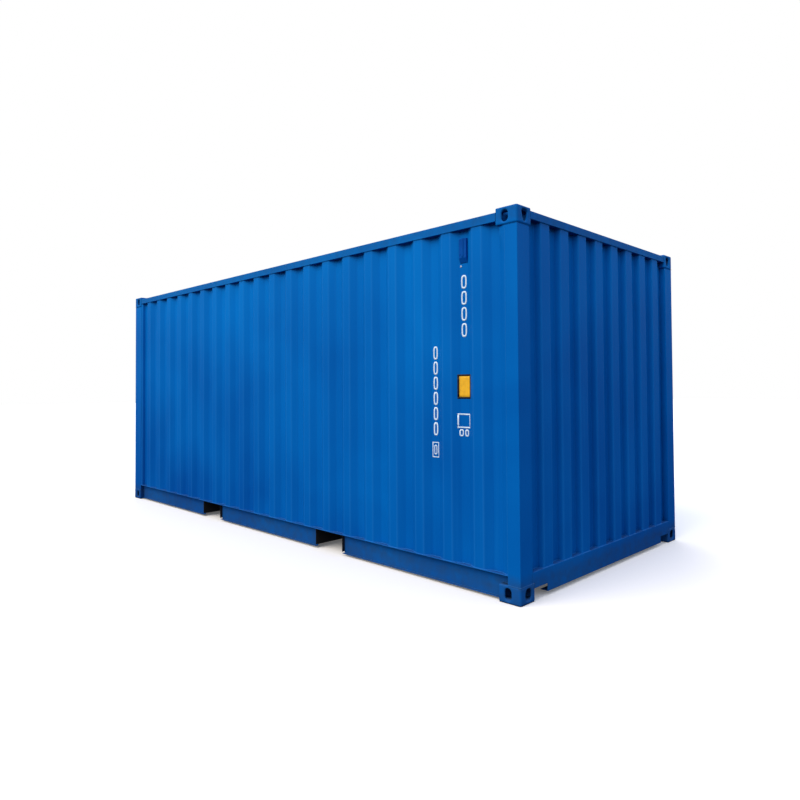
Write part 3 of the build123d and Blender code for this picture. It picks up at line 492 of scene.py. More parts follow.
def fold_highlight(points, normals, outward):
    """One where a run bends away from its outside, where the painted highlight goes, nought elsewhere."""
    fold_lights = [0.0] * len(points)
    for i in range(1, len(points) - 1):
        turn = (points[i + 1] - points[i]).normalized() - (points[i] - points[i - 1]).normalized()
        fold_lights[i] = float(turn.dot(normals[i]) * outward < -LEAST_TURN)
    return fold_lights


# points of a right angle that get the painted highlight of an outer fold
print("a right angle wears at", int(sum(fold_highlight(*square_corner, -1))), "points")

# %% [markdown]
# A bent sheet is two layers of points, its outer and its inner face, with a strip of faces round the
# edge. A Solidify modifier could thicken a single layer, but at each bend it would have to guess the
# direction that the run already knows.

# %% Bent sheets
def eased_step(share):
    """From nought to one with a soft start and a soft end."""
    share = min(max(share, 0), 1)
    return share * share * (3 - 2 * share)


def double_grid(columns, rows):
    """Faces of a sheet whose points come as two layers of columns, closed round its edge."""
    def at(layer, column, row):
        return (layer * columns + column) * rows + row

    faces = []
    for i in range(columns - 1):
        for j in range(rows - 1):
            for layer in (0, 1):
                faces.append((at(layer, i, j), at(layer, i + 1, j),
                              at(layer, i + 1, j + 1), at(layer, i, j + 1)))
        for j in (0, rows - 1):
            faces.append((at(0, i, j), at(1, i, j), at(1, i + 1, j), at(0, i + 1, j)))
    for i in (0, columns - 1):
        for j in range(rows - 1):
            faces.append((at(0, i, j), at(0, i, j + 1), at(1, i, j + 1), at(1, i, j)))
    return faces


def sheet_piece(name, run, thick, low, top, shares, push):
    """A bent sheet of blue steel that stands on z = low and lies on the left of its run.

    top gives the height at a point, shares the rows up to it, and push how far a spot is pressed.
    """
    points, normals = with_margins(run)
    spots = []
    for depth in (0, thick):
        for point, normal in zip(points, normals):
            for share in shares:
                z = low + (top(point) - low) * share
                spot = point + normal * depth + push(point, z)
                spots.append((spot.x, spot.y, z))
    piece = mesh_piece(name, spots, double_grid(len(points), len(shares)), blue_paint, "paint")
    # the outer folds carry a painted highlight
    tint_mask = piece.data.attributes.new("fold_highlight", "FLOAT", "POINT")
    columns = fold_highlight(points, normals, -1 if thick > 0 else 1)
    tint_mask.data.foreach_set("value", [value for value in columns for _ in shares] * 2)
    return piece


print("a sheet of 3 by 2 points has", len(double_grid(3, 2)), "faces")

# %% [markdown]
# Welding pulls such a wall slightly wavy, by about a millimetre over half a metre. The frame holds its
# edges, so the wave fades to nothing at the top and the bottom. Where a recess would run into the top
# casting at the front, the press lets it run out over its last 20 cm.

# %% Side wall sizes
SIDE_PITCH, SIDE_PHASE, SIDE_FLOOR, SIDE_SLOPE, SIDE_DEPTH = 0.2795, 0.028, 0.070, 0.064, 0.036
SIDE_SHEET, SIDE_BEND = 0.0016, 0.012
REAR_FLAT, REAR_STEP = 0.028, 0.010
RECESSES = 10
WAVE = 0.0011
# share of the wave, turn in radians for each metre along and up, start
RIPPLES = ((0.6, 2.1, 1.7, 0), (0.4, 5.3, -2.9, 1.1))
TRIM_GAP = 0.0002
RUN_OUT_X, RUN_OUT_Z = 0.030, 0.20
WALL_ROWS = 24
WALL_SHARES = [row / WALL_ROWS for row in range(WALL_ROWS - 2)] + [0.90, 0.92, 0.94, 0.96, 0.98, 1]
SIDES = {"right": -1, "left": 1}

casting_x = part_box("top_castings_front")[0].x
casting_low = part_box("top_castings_front")[0].z
wall_low, wall_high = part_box("side_wall_right")
side_out = -wall_low.y
print("side wall", round(wall_high.x - wall_low.x, 3), "m long,", 2 * RECESSES + 1, "recesses")

# %% Side walls
def side_run(y_side):
    """A side wall's outer line, from the rear post to the front post."""
    outside, inside = y_side * side_out, y_side * (side_out - SIDE_DEPTH)
    half_floor, half_mouth = SIDE_FLOOR / 2, SIDE_FLOOR / 2 + SIDE_SLOPE
    rear = SIDE_PHASE - RECESSES * SIDE_PITCH
    step_start = wall_low.x + REAR_FLAT
    line = [(wall_low.x, outside), (step_start, outside), (step_start + REAR_STEP, inside),
            (rear + half_floor, inside), (rear + half_mouth, outside)]
    for step in range(1 - RECESSES, RECESSES + 1):
        centre = SIDE_PHASE + step * SIDE_PITCH
        line += [(centre - half_mouth, outside), (centre - half_floor, inside),
                 (centre + half_floor, inside), (centre + half_mouth, outside)]
    line.append((wall_high.x, outside))
    return split_at(rounded_line(line, SIDE_BEND), 0, casting_x)


def weld_wave(along, z, low, high):
    """A long and a short ripple that cross the sheet aslant, held at its foot and its head."""
    held = sin(pi * min(max((z - low) / (high - low), 0), 1))
    return WAVE * held * sum(share * sin(by_length * along + by_height * z + start)
                             for share, by_length, by_height, start in RIPPLES)


def side_push(point, z):
    beyond_rail = eased_step((point.x - casting_x) / RUN_OUT_X)
    run_out = beyond_rail * eased_step((z - casting_low) / RUN_OUT_Z + 1)
    outside = side_out if point.y > 0 else -side_out
    return Vector((0, weld_wave(point.x, z, wall_low.z, wall_high.z) + (outside - point.y) * run_out))


def side_top(point):
    return casting_low - TRIM_GAP if point.x > casting_x else wall_high.z


for side_name, y_side in SIDES.items():
    wall = sheet_piece(f"pressed_side_wall_{side_name}", side_run(y_side), -y_side * SIDE_SHEET,
                       wall_low.z, side_top, WALL_SHARES, side_push)
    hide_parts(f"side_wall_{side_name}")

# %% [markdown]
# The front wall has to stop cargo that slides forward, so its folds are narrower, steeper and deeper,
# in thicker sheet. The same helper presses it.

# %% Front wall
FRONT_PITCH, FRONT_RIB, FRONT_SLOPE, FRONT_DEPTH = 0.250, 0.110, 0.018, 0.0456
FRONT_SHEET, FRONT_BEND = 0.002, 0.008
FRONT_WAVE_START = 4

front_low, front_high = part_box("front_wall")
casting_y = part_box("front_top_rail")[1].y
rib_count = int(2 * (front_high.y - FRONT_SLOPE) / FRONT_PITCH)
rib_face, rib_foot = front_high.x, front_high.x - FRONT_DEPTH
front_line = [(rib_foot, front_low.y)]
for step in range(rib_count):
    centre = (step - (rib_count - 1) / 2) * FRONT_PITCH
    near, far = centre - FRONT_RIB / 2, centre + FRONT_RIB / 2
    front_line += [(rib_foot, near - FRONT_SLOPE), (rib_face, near),
                   (rib_face, far), (rib_foot, far + FRONT_SLOPE)]
front_line.append((rib_foot, front_high.y))
front_run = split_at(split_at(rounded_line(front_line, FRONT_BEND), 1, -casting_y), 1, casting_y)


def front_push(point, z):
    return Vector((weld_wave(point.y + FRONT_WAVE_START, z, front_low.z, front_high.z), 0))


def front_top(point):
    return casting_low - TRIM_GAP if abs(point.y) > casting_y else front_high.z


front_wall = sheet_piece("pressed_front_wall", front_run, FRONT_SHEET, front_low.z, front_top,
                         WALL_SHARES, front_push)
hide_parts("front_wall")
print("front wall ribs", rib_count)

# %% [markdown]
# ## Roof
# The roof is thin sheet with a row of low ribs pressed up across it, which stiffen it and shed water.
# Each rib rises softly from the sheet and runs out before the side rails. A grid whose height is the
# product of two eased steps, one along and one across, gives that shape with round corners. The CAD
# ribs have straight edges, so this sheet stands for them.

# %% Roof sheet
ROOF_PITCH, ROOF_RIBS, ROOF_RIB_W, ROOF_RIB_L, ROOF_RIB_H = 0.209, 25, 0.118, 2.260, 0.018
ROOF_RISE, ROOF_SHEET = 0.018, 0.002
RISE_SHARES = (0, 0.2, 0.4, 0.6, 0.8, 1)
ROOF_BETWEEN = [-0.6, 0, 0.6]

roof_low, roof_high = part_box("roof")
rib_centres = [(step - (ROOF_RIBS - 1) / 2) * ROOF_PITCH for step in range(ROOF_RIBS)]


def roof_height(x, y):
    nearest = min(abs(x - centre) for centre in rib_centres)
    across = eased_step((ROOF_RIB_W / 2 - nearest) / ROOF_RISE)
    along = eased_step((ROOF_RIB_L / 2 - abs(y)) / ROOF_RISE)
    return roof_low.z + ROOF_SHEET + ROOF_RIB_H * across * along


rib_edges = [ROOF_RIB_W / 2 - ROOF_RISE * share for share in RISE_SHARES]
rib_ends = [ROOF_RIB_L / 2 - ROOF_RISE * share for share in RISE_SHARES]
roof_xs = sorted([roof_low.x, roof_high.x] + [centre + hand * edge for centre in rib_centres
                                              for edge in rib_edges for hand in (-1, 1)])
roof_ys = sorted([roof_low.y, roof_high.y] + ROOF_BETWEEN + [hand * end for end in rib_ends
                                                             for hand in (-1, 1)])
roof_points = [(x, y, roof_height(x, y) - depth) for depth in (0, ROOF_SHEET)
               for x in roof_xs for y in roof_ys]
pressed_roof = mesh_piece("pressed_roof", roof_points, double_grid(len(roof_xs), len(roof_ys)),
                          blue_paint, "paint")
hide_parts("roof")

# %% [markdown]
# ## Door panels
# Each door leaf is a frame round one pressed panel. Its recesses run out near the top and the bottom,
# so that the panel's edge lies flat on the frame, and the lock rods stand over the flats between them.
# The sheet helper makes it, with a push that closes each recess over its last few centimetres.

# %% Door panels
DOOR_PITCH, DOOR_FLOOR, DOOR_SLOPE, DOOR_DEPTH = 0.236, 0.090, 0.028, 0.036
DOOR_SHEET, DOOR_BEND, DOOR_RUN_OUT = 0.002, 0.010, 0.060
DOOR_RECESSES = (-1.5, -0.5, 0.5, 1.5)
DOOR_ROWS = 12
END_HEIGHTS = [share * DOOR_RUN_OUT for share in (0, 0.1, 0.25, 0.4, 0.55, 0.7, 0.85, 1)]


def door_panel(name, low, high):
    """A pressed panel that fills the box between two corners."""
    tall = high.z - low.z
    face, floor_x = low.x, low.x + DOOR_DEPTH
    line = [(face, low.y)]
    for step in DOOR_RECESSES:
        centre = (low.y + high.y) / 2 + step * DOOR_PITCH
        near, far = centre - DOOR_FLOOR / 2, centre + DOOR_FLOOR / 2
        line += [(face, near - DOOR_SLOPE), (floor_x, near), (floor_x, far), (face, far + DOOR_SLOPE)]
    line.append((face, high.y))
    heights = END_HEIGHTS + [tall - end for end in END_HEIGHTS]
    heights += [tall * row / DOOR_ROWS for row in range(1, DOOR_ROWS)]

    def door_top(point):
        return high.z

    def door_push(point, z):
        from_end = min(z - low.z, high.z - z)
        return Vector(((face - point.x) * (1 - eased_step(from_end / DOOR_RUN_OUT)), 0))

    return sheet_piece(name, rounded_line(line, DOOR_BEND), -DOOR_SHEET, low.z, door_top,
                       sorted(h / tall for h in heights), door_push)


for side_name in SIDES:
    panel = door_panel(f"pressed_door_panel_{side_name}", *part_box(f"door_panel_{side_name}"))
    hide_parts(f"door_panel_{side_name}")

# %% [markdown]
# ## Weld beads
# Every sheet is welded all round to its rail, sill and post. The bead is a rippled fillet some 3.5 mm
# high. The ripples of such a weld lie 2 to 3 mm apart, which is too fine to show, so they are drawn
# 18 mm apart. A curve with a round bevel would do for a straight seam, but the seams follow the folds
# of the walls, so a quarter disc is swept along the same runs that pressed them.

# %% Skins and seams
BEAD_STEP = 0.006


def lofted(rings):
    """A closed skin over rings of equally many points."""
    count = len(rings[0])
    points = [point for ring in rings for point in ring]
    faces = []
    for ring in range(len(rings) - 1):
        here, there = ring * count, (ring + 1) * count
        for i in range(count):
            j = (i + 1) % count
            faces.append((here + i, here + j, there + j, there + i))
    faces.append(tuple(range(count)))
    faces.append(tuple(range(len(points) - count, len(points))))
    return points, faces


def gather(shapes):
    """Several shapes as one list of points and one of faces."""
    points, faces = [], []
    for shape_points, shape_faces in shapes:
        faces += [tuple(i + len(points) for i in face) for face in shape_faces]
        points += shape_points
    return points, faces


def walk(run, step):
    """Spots at even steps along a run, each with its normal."""
    points, normals = run
    spots = []
    for i in range(len(points) - 1):
        count = max(1, round((points[i + 1] - points[i]).length / step))
        for share in (part / count for part in range(count)):
            normal = normals[i].lerp(normals[i + 1], share).normalized()
            spots.append((points[i].lerp(points[i + 1], share), normal))
    spots.append((points[-1], normals[-1]))
    return spots


print("a right angle is walked in", len(walk(square_corner, BEAD_STEP)), "steps")

# %% Beads
BEAD_R, BEAD_ROOT = 0.0034, 0.0006
RIPPLE, RIPPLE_DEPTH = 0.018, 0.16


def bead(spots):
    """A fillet weld along spots that each carry the directions of the two faces it fills between."""
    rings = []
    for i, (spot, out, lift) in enumerate(spots):
        reach = BEAD_R * (1 + RIPPLE_DEPTH * sin(2 * pi * i * BEAD_STEP / RIPPLE))
        ring = [spot - (out + lift) * BEAD_ROOT]
        for angle in (0, pi / 6, pi / 3, pi / 2):
            ring.append(spot + out * reach * cos(angle) + lift * reach * sin(angle))
        rings.append(ring)
    return lofted(rings)


def level_seam(run, outward, z, lift):
    """Spots of a seam at one height. outward is 1 where the outside is on the run's left, else -1."""
    return [(Vector((spot.x, spot.y, z)), Vector((normal.x, normal.y, 0)) * outward, Vector((0, 0, lift)))
            for spot, normal in walk(run, BEAD_STEP)]


print("a bead of two steps has", len(bead(level_seam(square_corner, 1, 0, 1)[:3])[1]), "faces")

# %% Beads along the walls
UP, DOWN = 1, -1


def where(run, wanted):
    """The part of a run whose points are wanted."""
    kept = [i for i, point in enumerate(run[0]) if wanted(point)]
    return [run[0][i] for i in kept], [run[1][i] for i in kept]


def under_side_rail(point):
    return point.x < casting_x


def under_front_rail(point):
    return abs(point.y) < casting_y


seams = []
for y_side in SIDES.values():
    run = side_run(y_side)
    seams.append(level_seam(run, y_side, wall_low.z, UP))
    seams.append(level_seam(where(run, under_side_rail), y_side, wall_high.z, DOWN))
seams.append(level_seam(front_run, -1, front_low.z, UP))
seams.append(level_seam(where(front_run, under_front_rail), -1, front_high.z, DOWN))
mesh_piece("wall_weld_beads", *gather([bead(seam) for seam in seams]), blue_paint, "paint")

# %% [markdown]
# Posts are welded to the castings above and below them, with a level seam round their two outer faces.
# The edge of each side wall is welded to its post with an upright seam, which the same sweep makes from
# a straight row of spots.

# %% Beads round the posts
POST_BEND = 0.004
# name, which end, width of the end face, top of the seam along the side wall
POSTS = (("front_post", 1, 0.140, casting_low), ("rear_post", -1, 0.056, wall_high.z))

post_seams = []
for post, x_side, face_w, edge_top in POSTS:
    for side_name, y_side in SIDES.items():
        post_low, post_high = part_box(f"{post}_{side_name}")
        outer_x, inner_x = (post_high.x, post_low.x) if x_side > 0 else (post_low.x, post_high.x)
        outer_y = post_low.y if y_side < 0 else post_high.y
        outline = [(inner_x, outer_y), (outer_x, outer_y), (outer_x, outer_y - y_side * face_w)]
        run = rounded_line(outline, POST_BEND)
        post_seams.append(level_seam(run, x_side * y_side, post_low.z, UP))
        post_seams.append(level_seam(run, x_side * y_side, post_high.z, DOWN))
        along_wall, out_of_wall = Vector((-x_side, 0, 0)), Vector((0, y_side, 0))
        foot = Vector((inner_x, y_side * side_out, wall_low.z))
        post_seams.append([(foot + Vector((0, 0, BEAD_STEP * i)), along_wall, out_of_wall)
                           for i in range(round((edge_top - wall_low.z) / BEAD_STEP))])
mesh_piece("post_weld_beads", *gather([bead(seam) for seam in post_seams]), blue_paint, "paint")

# %% [markdown]
# ## Turned shapes
# Round welds, bolts, rivets and pin heads are all turned shapes, so one helper spins a profile round an
# axis with as many sides as the piece has: six for a bolt head, many for a washer or a rivet. Spin and
# Screw modifiers do the same, but then each bolt would need its own object.

# %% Turned shapes
ROUND_SIDES = 20


def turned(profile, sides, place, axis):
    """A profile of (radius, height) pairs spun round an axis that starts at a place."""
    turn = axis.to_track_quat("Z", "Y")
    angles = [2 * pi * i / sides for i in range(sides)]
    return lofted([[place + turn @ Vector((radius * cos(angle), radius * sin(angle), height))
                    for angle in angles] for radius, height in profile])


print("a turned cone of two rings has", len(turned([(2, 0), (1, 1)], 6, Vector(), Vector((0, 0, 1)))[1]),
      "faces")

# %% [markdown]
# The bottom rails are welded into the castings with a thick round bead, which also closes the gap that
# the casting's rounded edge leaves in the notch of the rail. A turned shape with a rippled radius is
# such a bead.

# %% Beads at the bottom castings
CAST_BEAD_R, CAST_RIPPLE_DEPTH = 0.005, 0.12
RAIL_WEB = 0.0045


def round_bead(start, stop):
    """A rippled round weld from one spot to another."""
    along = stop - start
    count = round(along.length / BEAD_STEP)
    profile = []
    for i in range(count + 1):
        swell = 1 + CAST_RIPPLE_DEPTH * sin(2 * pi * i * BEAD_STEP / RIPPLE)
        profile.append((CAST_BEAD_R * swell, along.length * i / count))
    return turned(profile, ROUND_SIDES, start, along.normalized())


front_cast_x, cast_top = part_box("bottom_castings_front")[0].x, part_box("bottom_castings_front")[1].z
rear_cast_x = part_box("bottom_castings_rear")[1].x
round_beads = []
for side_name, y_side in SIDES.items():
    rail_low, rail_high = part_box(f"bottom_rail_{side_name}")
    web_y = y_side * (min(abs(rail_low.y), abs(rail_high.y)) + RAIL_WEB / 2)
    corner = Vector((front_cast_x, web_y, cast_top))
    round_beads.append(round_bead(Vector((front_cast_x, web_y, rail_low.z)), corner))
    round_beads.append(round_bead(corner, Vector((rail_high.x, web_y, cast_top))))
    round_beads.append(round_bead(Vector((rear_cast_x, web_y, rail_low.z)),
                                  Vector((rear_cast_x, web_y, cast_top))))
mesh_piece("casting_weld_beads", *gather(round_beads), blue_paint, "paint")

# %% [markdown]
# ## Fasteners on the doors
# The rod brackets are bolted to the doors with washers under six-sided heads, and the hinge pins have
# domed heads at both ends. Their profiles are written as shares of the radius, as a bolt maker's table
# does, so one profile serves each size.

# %% Bolts and domes
WASHER = ((1.45, 0), (1.45, 0.22), (1.35, 0.28))
BOLT_HEAD = ((1, 0.2), (1, 0.82), (0.84, 0.95))
DOME_STEPS = 6


def bolt(place, axis, radius):
    return [turned([(r * radius, h * radius) for r, h in profile], sides, place, axis)
            for profile, sides in ((WASHER, ROUND_SIDES), (BOLT_HEAD, 6))]


def dome(place, axis, radius, height):
    angles = [step * pi / 2 / DOME_STEPS for step in range(DOME_STEPS)]
    return turned([(radius * cos(a), height * sin(a)) for a in angles], ROUND_SIDES, place, axis)


print("bolt head", len(bolt(Vector(), Vector((0, 0, 1)), 0.009)[1][1]), "faces")

# %% Bracket bolts
BOLT_R, BOLT_OUT, BRACKET_PLATE = 0.0075, 0.0325, 0.005
BRACKET_LEVELS = (0.271, 0.836, 1.596, 2.366)
ROD_OFFSET = 0.236
OUT_OF_DOOR = Vector((-1, 0, 0))

leaf_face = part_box("door_frame_right")[0].x
bolts = []
for side_name in SIDES:
    leaf_low, leaf_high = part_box(f"door_frame_{side_name}")
    leaf_middle = (leaf_low.y + leaf_high.y) / 2
    for rod_y in (leaf_middle - ROD_OFFSET, leaf_middle + ROD_OFFSET):
        for level in BRACKET_LEVELS:
            for hand in (-1, 1):
                spot = Vector((leaf_face - BRACKET_PLATE, rod_y + hand * BOLT_OUT, level))
                bolts += bolt(spot, OUT_OF_DOOR, BOLT_R)
mesh_piece("bracket_bolts", *gather(bolts), zinc, "zinc")

# %% Hinge pin heads
HINGES, LUG_REACH = 4, 0.0465
KNUCKLE_H, KNUCKLE_R = 0.060, 0.017
PIN_HEAD_R, PIN_HEAD_H = 0.012, 0.005

pin_heads = []
for side_name, y_side in SIDES.items():
    hinge_low, hinge_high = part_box(f"door_hinges_{side_name}")
    first, last = hinge_low.z + KNUCKLE_H / 2, hinge_high.z - KNUCKLE_H / 2
    pin_y = y_side * (max(abs(hinge_low.y), abs(hinge_high.y)) - KNUCKLE_R)
    for step in range(HINGES):
        level = first + (last - first) * step / (HINGES - 1)
        for hand in (-1, 1):
            spot = Vector((hinge_low.x + KNUCKLE_R, pin_y, level + hand * LUG_REACH))
            pin_heads.append(dome(spot, Vector((0, 0, hand)), PIN_HEAD_R, PIN_HEAD_H))
mesh_piece("hinge_pin_heads", *gather(pin_heads), zinc, "zinc")

# %% [markdown]
# ## Ventilator rivets
# A ventilator is a small pressed cover over two holes in the wall. Four blind rivets hold it, and one
# more closes the drain hole under it, left bright because it went in after painting.

# %% Ventilator rivets
RIVET_R, RIVET_H, RIVET_INSET = 0.0045, 0.0022, 0.010
VENT_SHELF, VENT_HOOD = 0.016, 0.062
PLUG_DROP, PLUG_ASIDE, PLUG_R = 0.022, 0.029, 0.008

rivets, plugs = [], []
for side_name, y_side in SIDES.items():
    vent_low, vent_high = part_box(f"ventilator_{side_name}")
    out = Vector((0, y_side, 0))
    wall_y = y_side * (side_out - SIDE_DEPTH)
    for x in (vent_low.x + RIVET_INSET, vent_high.x - RIVET_INSET):
        for z in (vent_low.z + VENT_HOOD, vent_high.z - RIVET_INSET):
            rivets.append(dome(Vector((x, wall_y + y_side * VENT_SHELF, z)), out, RIVET_R, RIVET_H))
    plug_x = (vent_low.x + vent_high.x) / 2 - PLUG_ASIDE
    plugs.append(dome(Vector((plug_x, wall_y, vent_low.z - PLUG_DROP)), out, PLUG_R, RIVET_H))
mesh_piece("ventilator_rivets", *gather(rivets), vent_shade_blue, "paint")
mesh_piece("drain_hole_rivets", *gather(plugs), zinc, "zinc")

# %% [markdown]
# ## Door handles
# Each lock rod is turned by a forged lever. It is thick at the hub and draws down to a round-ended
# grip. The CAD lever is a plain bar, so a rounded section is lofted along it here: a superellipse whose
# height and thickness change from ring to ring. It keeps within the bar's own outline.

# %% Lever sections
LEVER_SECTIONS = ((0.020, 0.038, 0.012), (0.060, 0.037, 0.012), (0.120, 0.033, 0.011),
                  (0.180, 0.027, 0.010), (0.210, 0.026, 0.0105), (0.240, 0.029, 0.012),
                  (0.300, 0.029, 0.012), (0.320, 0.026, 0.011), (0.327, 0.019, 0.008),
                  (0.330, 0.008, 0.004))
HUB_REACH, HUB_W = 0.035, 0.0486
HUB_SECTIONS = ((-HUB_REACH, 0.80), (-0.032, 0.95), (-0.028, 1.0),
                (0.028, 1.0), (0.032, 0.95), (HUB_REACH, 0.80))
LEVER_POWER, HUB_POWER = 0.5, 0.55
RING_POINTS = 20


def soft_square(width, height, power):
    """Points of a rectangle with softly rounded corners."""
    ring = []
    for i in range(RING_POINTS):
        angle = 2 * pi * (i + 0.5) / RING_POINTS
        c, s = cos(angle), sin(angle)
        ring.append((width / 2 * abs(c) ** power * (1 if c > 0 else -1),
                     height / 2 * abs(s) ** power * (1 if s > 0 else -1)))
    return ring


print("lever", LEVER_SECTIONS[-1][0] * 1000, "mm long in", len(LEVER_SECTIONS), "sections")

# %% Forged levers
for side_name, y_side in SIDES.items():
    handles_low, handles_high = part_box(f"door_handles_{side_name}")
    rod_x = (handles_low.x + handles_high.x) / 2
    leaf_low, leaf_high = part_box(f"door_frame_{side_name}")
    leaf_middle = abs(leaf_low.y + leaf_high.y) / 2
    levels = (handles_high.z - HUB_REACH, handles_low.z + HUB_REACH)
    shapes = []
    for offset, level, across in zip((-ROD_OFFSET, ROD_OFFSET), levels, (y_side, -y_side)):
        rod_y = y_side * (leaf_middle + offset)
        shapes.append(lofted([[(rod_x + x, rod_y + across * reach, level + z)
                               for x, z in soft_square(thick, tall, LEVER_POWER)]
                              for reach, tall, thick in LEVER_SECTIONS]))
        shapes.append(lofted([[(rod_x + x, rod_y + y, level + z)
                               for x, y in soft_square(HUB_W * share, HUB_W * share, HUB_POWER)]
                              for z, share in HUB_SECTIONS]))
    levers = mesh_piece(f"forged_levers_{side_name}", *gather(shapes), zinc, "zinc")
    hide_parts(f"door_handles_{side_name}")

# %% [markdown]
# ## Marks on the side
# Marks on a container are cut from self-adhesive vinyl film and rubbed down into the folds. Here they
# stay generic: columns of plain rings, plain boxes and a blank yellow patch with a black rim. The film
# is smooth and satin when new, and scuffs duller in patches about 30 mm across.

# %% Vinyl films
SCUFF_MM = 30


def vinyl(name, clean, scuffed):
    """Calendered vinyl: an even satin colour, scuffed duller in small patches."""
    finish, tree, shader, place = new_finish(name)
    scuffs = add(tree, "ShaderNodeTexNoise", {"Vector": place, "Scale": per_metre(SCUFF_MM), "Detail": 5.0})
    tint_mask = add(tree, "ShaderNodeMapRange", {"Value": scuffs.outputs["Fac"], "From Min": 0.45,
                                            "From Max": 0.75})
    tone = add(tree, "ShaderNodeMix", {"Factor": tint_mask.outputs["Result"], "A": linear(clean),
                                       "B": linear(scuffed)}, data_type="RGBA")
    tree.links.new(tone.outputs["Result"], shader.inputs["Base Color"])
    shader.inputs["Roughness"].default_value = 0.5
    shader.inputs["IOR"].default_value = 1.53
    shader.inputs["Specular IOR Level"].default_value = 0.2
    return finish


white_film = vinyl("white_vinyl_film", "#EAF8FF", "#D2E6F2")
yellow_film = vinyl("yellow_vinyl_film", "#FFBE28", "#EDAE26")
black_film = vinyl("black_vinyl_film", "#1A1712", "#2A261E")
print("films", [m.name for m in (white_film, yellow_film, black_film)])

# %% [markdown]
# A decal image would lie flat over the folds, so a mark is cut as small four-sided cells, drawn flat in
# x and z. Each corner is then looked up on the run that pressed the wall and lifted off it by a fraction
# of a millimetre, and a Solidify modifier gives the film its thickness. A Shrinkwrap modifier could lay
# the film too, but it takes each point to the nearest spot, which bunches the cells in the folds.

# %% Film on the wall
FILM_LIFT, FILM_T = 0.0003, 0.0003
right_points, right_normals = side_run(SIDES["right"])
right_xs = [point.x for point in right_points]


def on_right_wall(x, z, lift):
    """The spot of the right wall at x and z, lifted off its face."""
    i = min(max(bisect_right(right_xs, x) - 1, 0), len(right_xs) - 2)
    share = (x - right_xs[i]) / (right_xs[i + 1] - right_xs[i])
    point = right_points[i].lerp(right_points[i + 1], share)
    out = -right_normals[i].lerp(right_normals[i + 1], share).normalized()
    spot = point + side_push(point, z) + out * lift
    return Vector((spot.x, spot.y, z))


def film_piece(name, cells, finish, lift=FILM_LIFT):
    """Film cut to cells of (x, z) corners and laid on the right wall."""
    places, faces = {}, []
    for cell in cells:
        faces.append([places.setdefault((round(x, 6), round(z, 6)), len(places)) for x, z in cell])
    points = [on_right_wall(x, z, lift) for x, z in places]
    piece = mesh_piece(name, points, faces, finish, "paint")
    film = piece.modifiers.new("film_thickness", "SOLIDIFY")
    film.thickness = FILM_T
    film.offset = 0


print("the right wall at 2.5 m lies at", [round(v, 4) for v in on_right_wall(2.5, 1.4, 0)])

# %% Film shapes
CELL_W, CELL_H = 0.005, 0.03
RING_POWER = 0.62


def block(x0, x1, z0, z1):
    """Cells that fill a rectangle, narrow enough to follow the folds."""
    across, down = max(1, round((x1 - x0) / CELL_W)), max(1, round((z1 - z0) / CELL_H))
    xs = [x0 + (x1 - x0) * i / across for i in range(across + 1)]
    zs = [z0 + (z1 - z0) * j / down for j in range(down + 1)]
    return [[(xs[i], zs[j]), (xs[i + 1], zs[j]), (xs[i + 1], zs[j + 1]), (xs[i], zs[j + 1])]
            for i in range(across) for j in range(down)]


def rim(x0, x1, z0, z1, stroke):
    """Cells of a rectangular outline."""
    inner_z0, inner_z1 = z0 + stroke, z1 - stroke
    return (block(x0, x1, z0, inner_z0) + block(x0, x1, inner_z1, z1)
            + block(x0, x0 + stroke, inner_z0, inner_z1) + block(x1 - stroke, x1, inner_z0, inner_z1))


def ring_mark(x, z, width, height, stroke):
    """Cells of a plain ring."""
    outer = soft_square(width, height, RING_POWER)
    inner = soft_square(width - 2 * stroke, height - 2 * stroke, RING_POWER)
    count = len(outer)
    return [[(x + ring[i % count][0], z + ring[i % count][1]) for ring, i in
             ((outer, i), (outer, i + 1), (inner, i + 1), (inner, i))] for i in range(count)]


print("a ring has", len(ring_mark(0, 0, 0.05, 0.1, 0.01)), "cells")

# %% Rings, boxes and patch
MARK_H, MARK_STROKE = 0.097, 0.012
# x, highest z, step down, how many, width
RING_COLUMNS = ((2.5405, 2.144, 0.1130, 4, 0.050), (2.2650, 1.655, 0.1105, 6, 0.044))
# x, z, width, height, stroke
SMALL_RINGS = ((2.2620, 0.951, 0.030, 0.072, 0.008), (2.5120, 1.085, 0.034, 0.050, 0.009),
               (2.5590, 1.085, 0.034, 0.050, 0.009))
# x and z from and to, stroke
PLAIN_BOXES = ((2.2300, 2.2940, 0.895, 1.007, 0.007), (2.4835, 2.5940, 1.118, 1.220, 0.010))
PATCH, PATCH_RIM = (2.484, 2.606, 1.324, 1.495), 0.013

white_cells = []
for x, top, step_down, count, width in RING_COLUMNS:
    for step in range(count):
        white_cells += ring_mark(x, top - step * step_down, width, MARK_H, MARK_STROKE)
for ring in SMALL_RINGS:
    white_cells += ring_mark(*ring)
for box in PLAIN_BOXES:
    white_cells += rim(*box)
film_piece("white_marks", white_cells, white_film)
film_piece("yellow_patch", block(*PATCH), yellow_film)
film_piece("yellow_patch_rim", rim(*PATCH, PATCH_RIM), black_film, 2 * FILM_LIFT + FILM_T)

# %% [markdown]
# ## Floor
# The photograph is cut out on white. A pale floor gives the soft shadow of a studio. It has a faint glow
# of its own, so that it is as white as the background, and it is left out of the bounced light, so that
# the undersides of the rails stay as dark as in the photograph.

# %% Floor
FLOOR_REACH = 60
FLOOR_Z = -0.0005
FLOOR_GLOW = 0.10

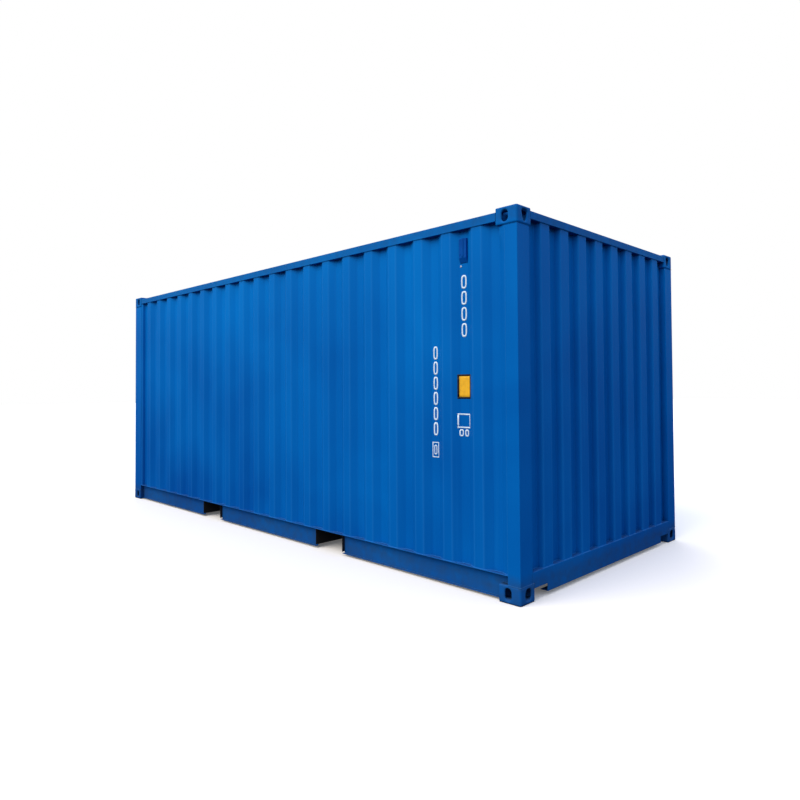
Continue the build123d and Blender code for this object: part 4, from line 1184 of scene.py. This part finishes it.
floor_corners = [(x * FLOOR_REACH, y * FLOOR_REACH, FLOOR_Z)
                 for x, y in ((-1, -1), (1, -1), (1, 1), (-1, 1))]
floor_mesh = bpy.data.meshes.new("studio_floor")
floor_mesh.from_pydata(floor_corners, [], [(0, 1, 2, 3)])
studio_floor = bpy.data.objects.new("studio_floor", floor_mesh)
bpy.context.scene.collection.objects.link(studio_floor)
pale, tree, shader, place = new_finish("pale_studio_floor")
shader.inputs["Base Color"].default_value = linear("#FFF9F0")
shader.inputs["Emission Color"].default_value = linear("#FFFFFF")
shader.inputs["Emission Strength"].default_value = FLOOR_GLOW
shader.inputs["Roughness"].default_value = 0.9
shader.inputs["Specular IOR Level"].default_value = 0
floor_mesh.materials.append(pale)
studio_floor.visible_diffuse = False
studio_floor.visible_glossy = False
print("floor", 2 * FLOOR_REACH, "m wide")

# %% [markdown]
# ## Light
# The light is that of an overcast day, with the long side nearly twice as bright as the end. A surround
# that is bright above and dim below, and one very wide lamp over the long side, give that. Area lamps
# would do it too, but their light falls off along a box six metres long. A weaker lamp from behind and
# the left keeps the hidden sides from going dull, and it doesn't reach the two sides that the
# photograph shows.

# %% Surround
SKY, GROUND = 1.15, 0.03

surround = bpy.data.worlds.new("studio_surround")
bpy.context.scene.world = surround
surround.use_nodes = True
tree = surround.node_tree
tree.nodes.clear()
look = add(tree, "ShaderNodeTexCoord", {})
rise = add(tree, "ShaderNodeSeparateXYZ", {"Vector": look.outputs["Generated"]})
strength = add(tree, "ShaderNodeMapRange", {"Value": rise.outputs["Z"], "From Min": -0.15, "From Max": 0.25,
                                            "To Min": GROUND, "To Max": SKY})
lighting = add(tree, "ShaderNodeBackground", {"Color": linear("#D4E2FF"),
                                              "Strength": strength.outputs["Result"]})
seen = add(tree, "ShaderNodeBackground", {"Color": linear("#FFFFFF"), "Strength": 1.0})
ray = add(tree, "ShaderNodeLightPath", {})
both = add(tree, "ShaderNodeMixShader", {0: ray.outputs["Is Camera Ray"], 1: lighting.outputs["Background"],
                                         2: seen.outputs["Background"]})
add(tree, "ShaderNodeOutputWorld", {"Surface": both.outputs["Shader"]})
bpy.context.scene.view_settings.view_transform = "Standard"
bpy.context.scene.view_settings.look = "None"
print("sky", SKY, "ground", GROUND)

# %% Lamps
LAMP, TO_LAMP = 2.1, Vector((-0.12, -0.74, 0.66))
FILL, TO_FILL = 1.2, Vector((-0.66, 0.62, 0.34))
LAMP_SPREAD = radians(50)

for name, energy, toward in (("overcast_lamp", LAMP, TO_LAMP), ("fill_lamp", FILL, TO_FILL)):
    lamp = bpy.data.lights.new(name, "SUN")
    lamp.energy = energy
    lamp.color = linear("#FFF6E8")[:3]
    lamp.angle = LAMP_SPREAD
    lamp_object = bpy.data.objects.new(name, lamp)
    lamp_object.rotation_mode = "QUATERNION"
    lamp_object.rotation_quaternion = toward.to_track_quat("Z", "Y")
    bpy.context.scene.collection.objects.link(lamp_object)
    print(name, energy)
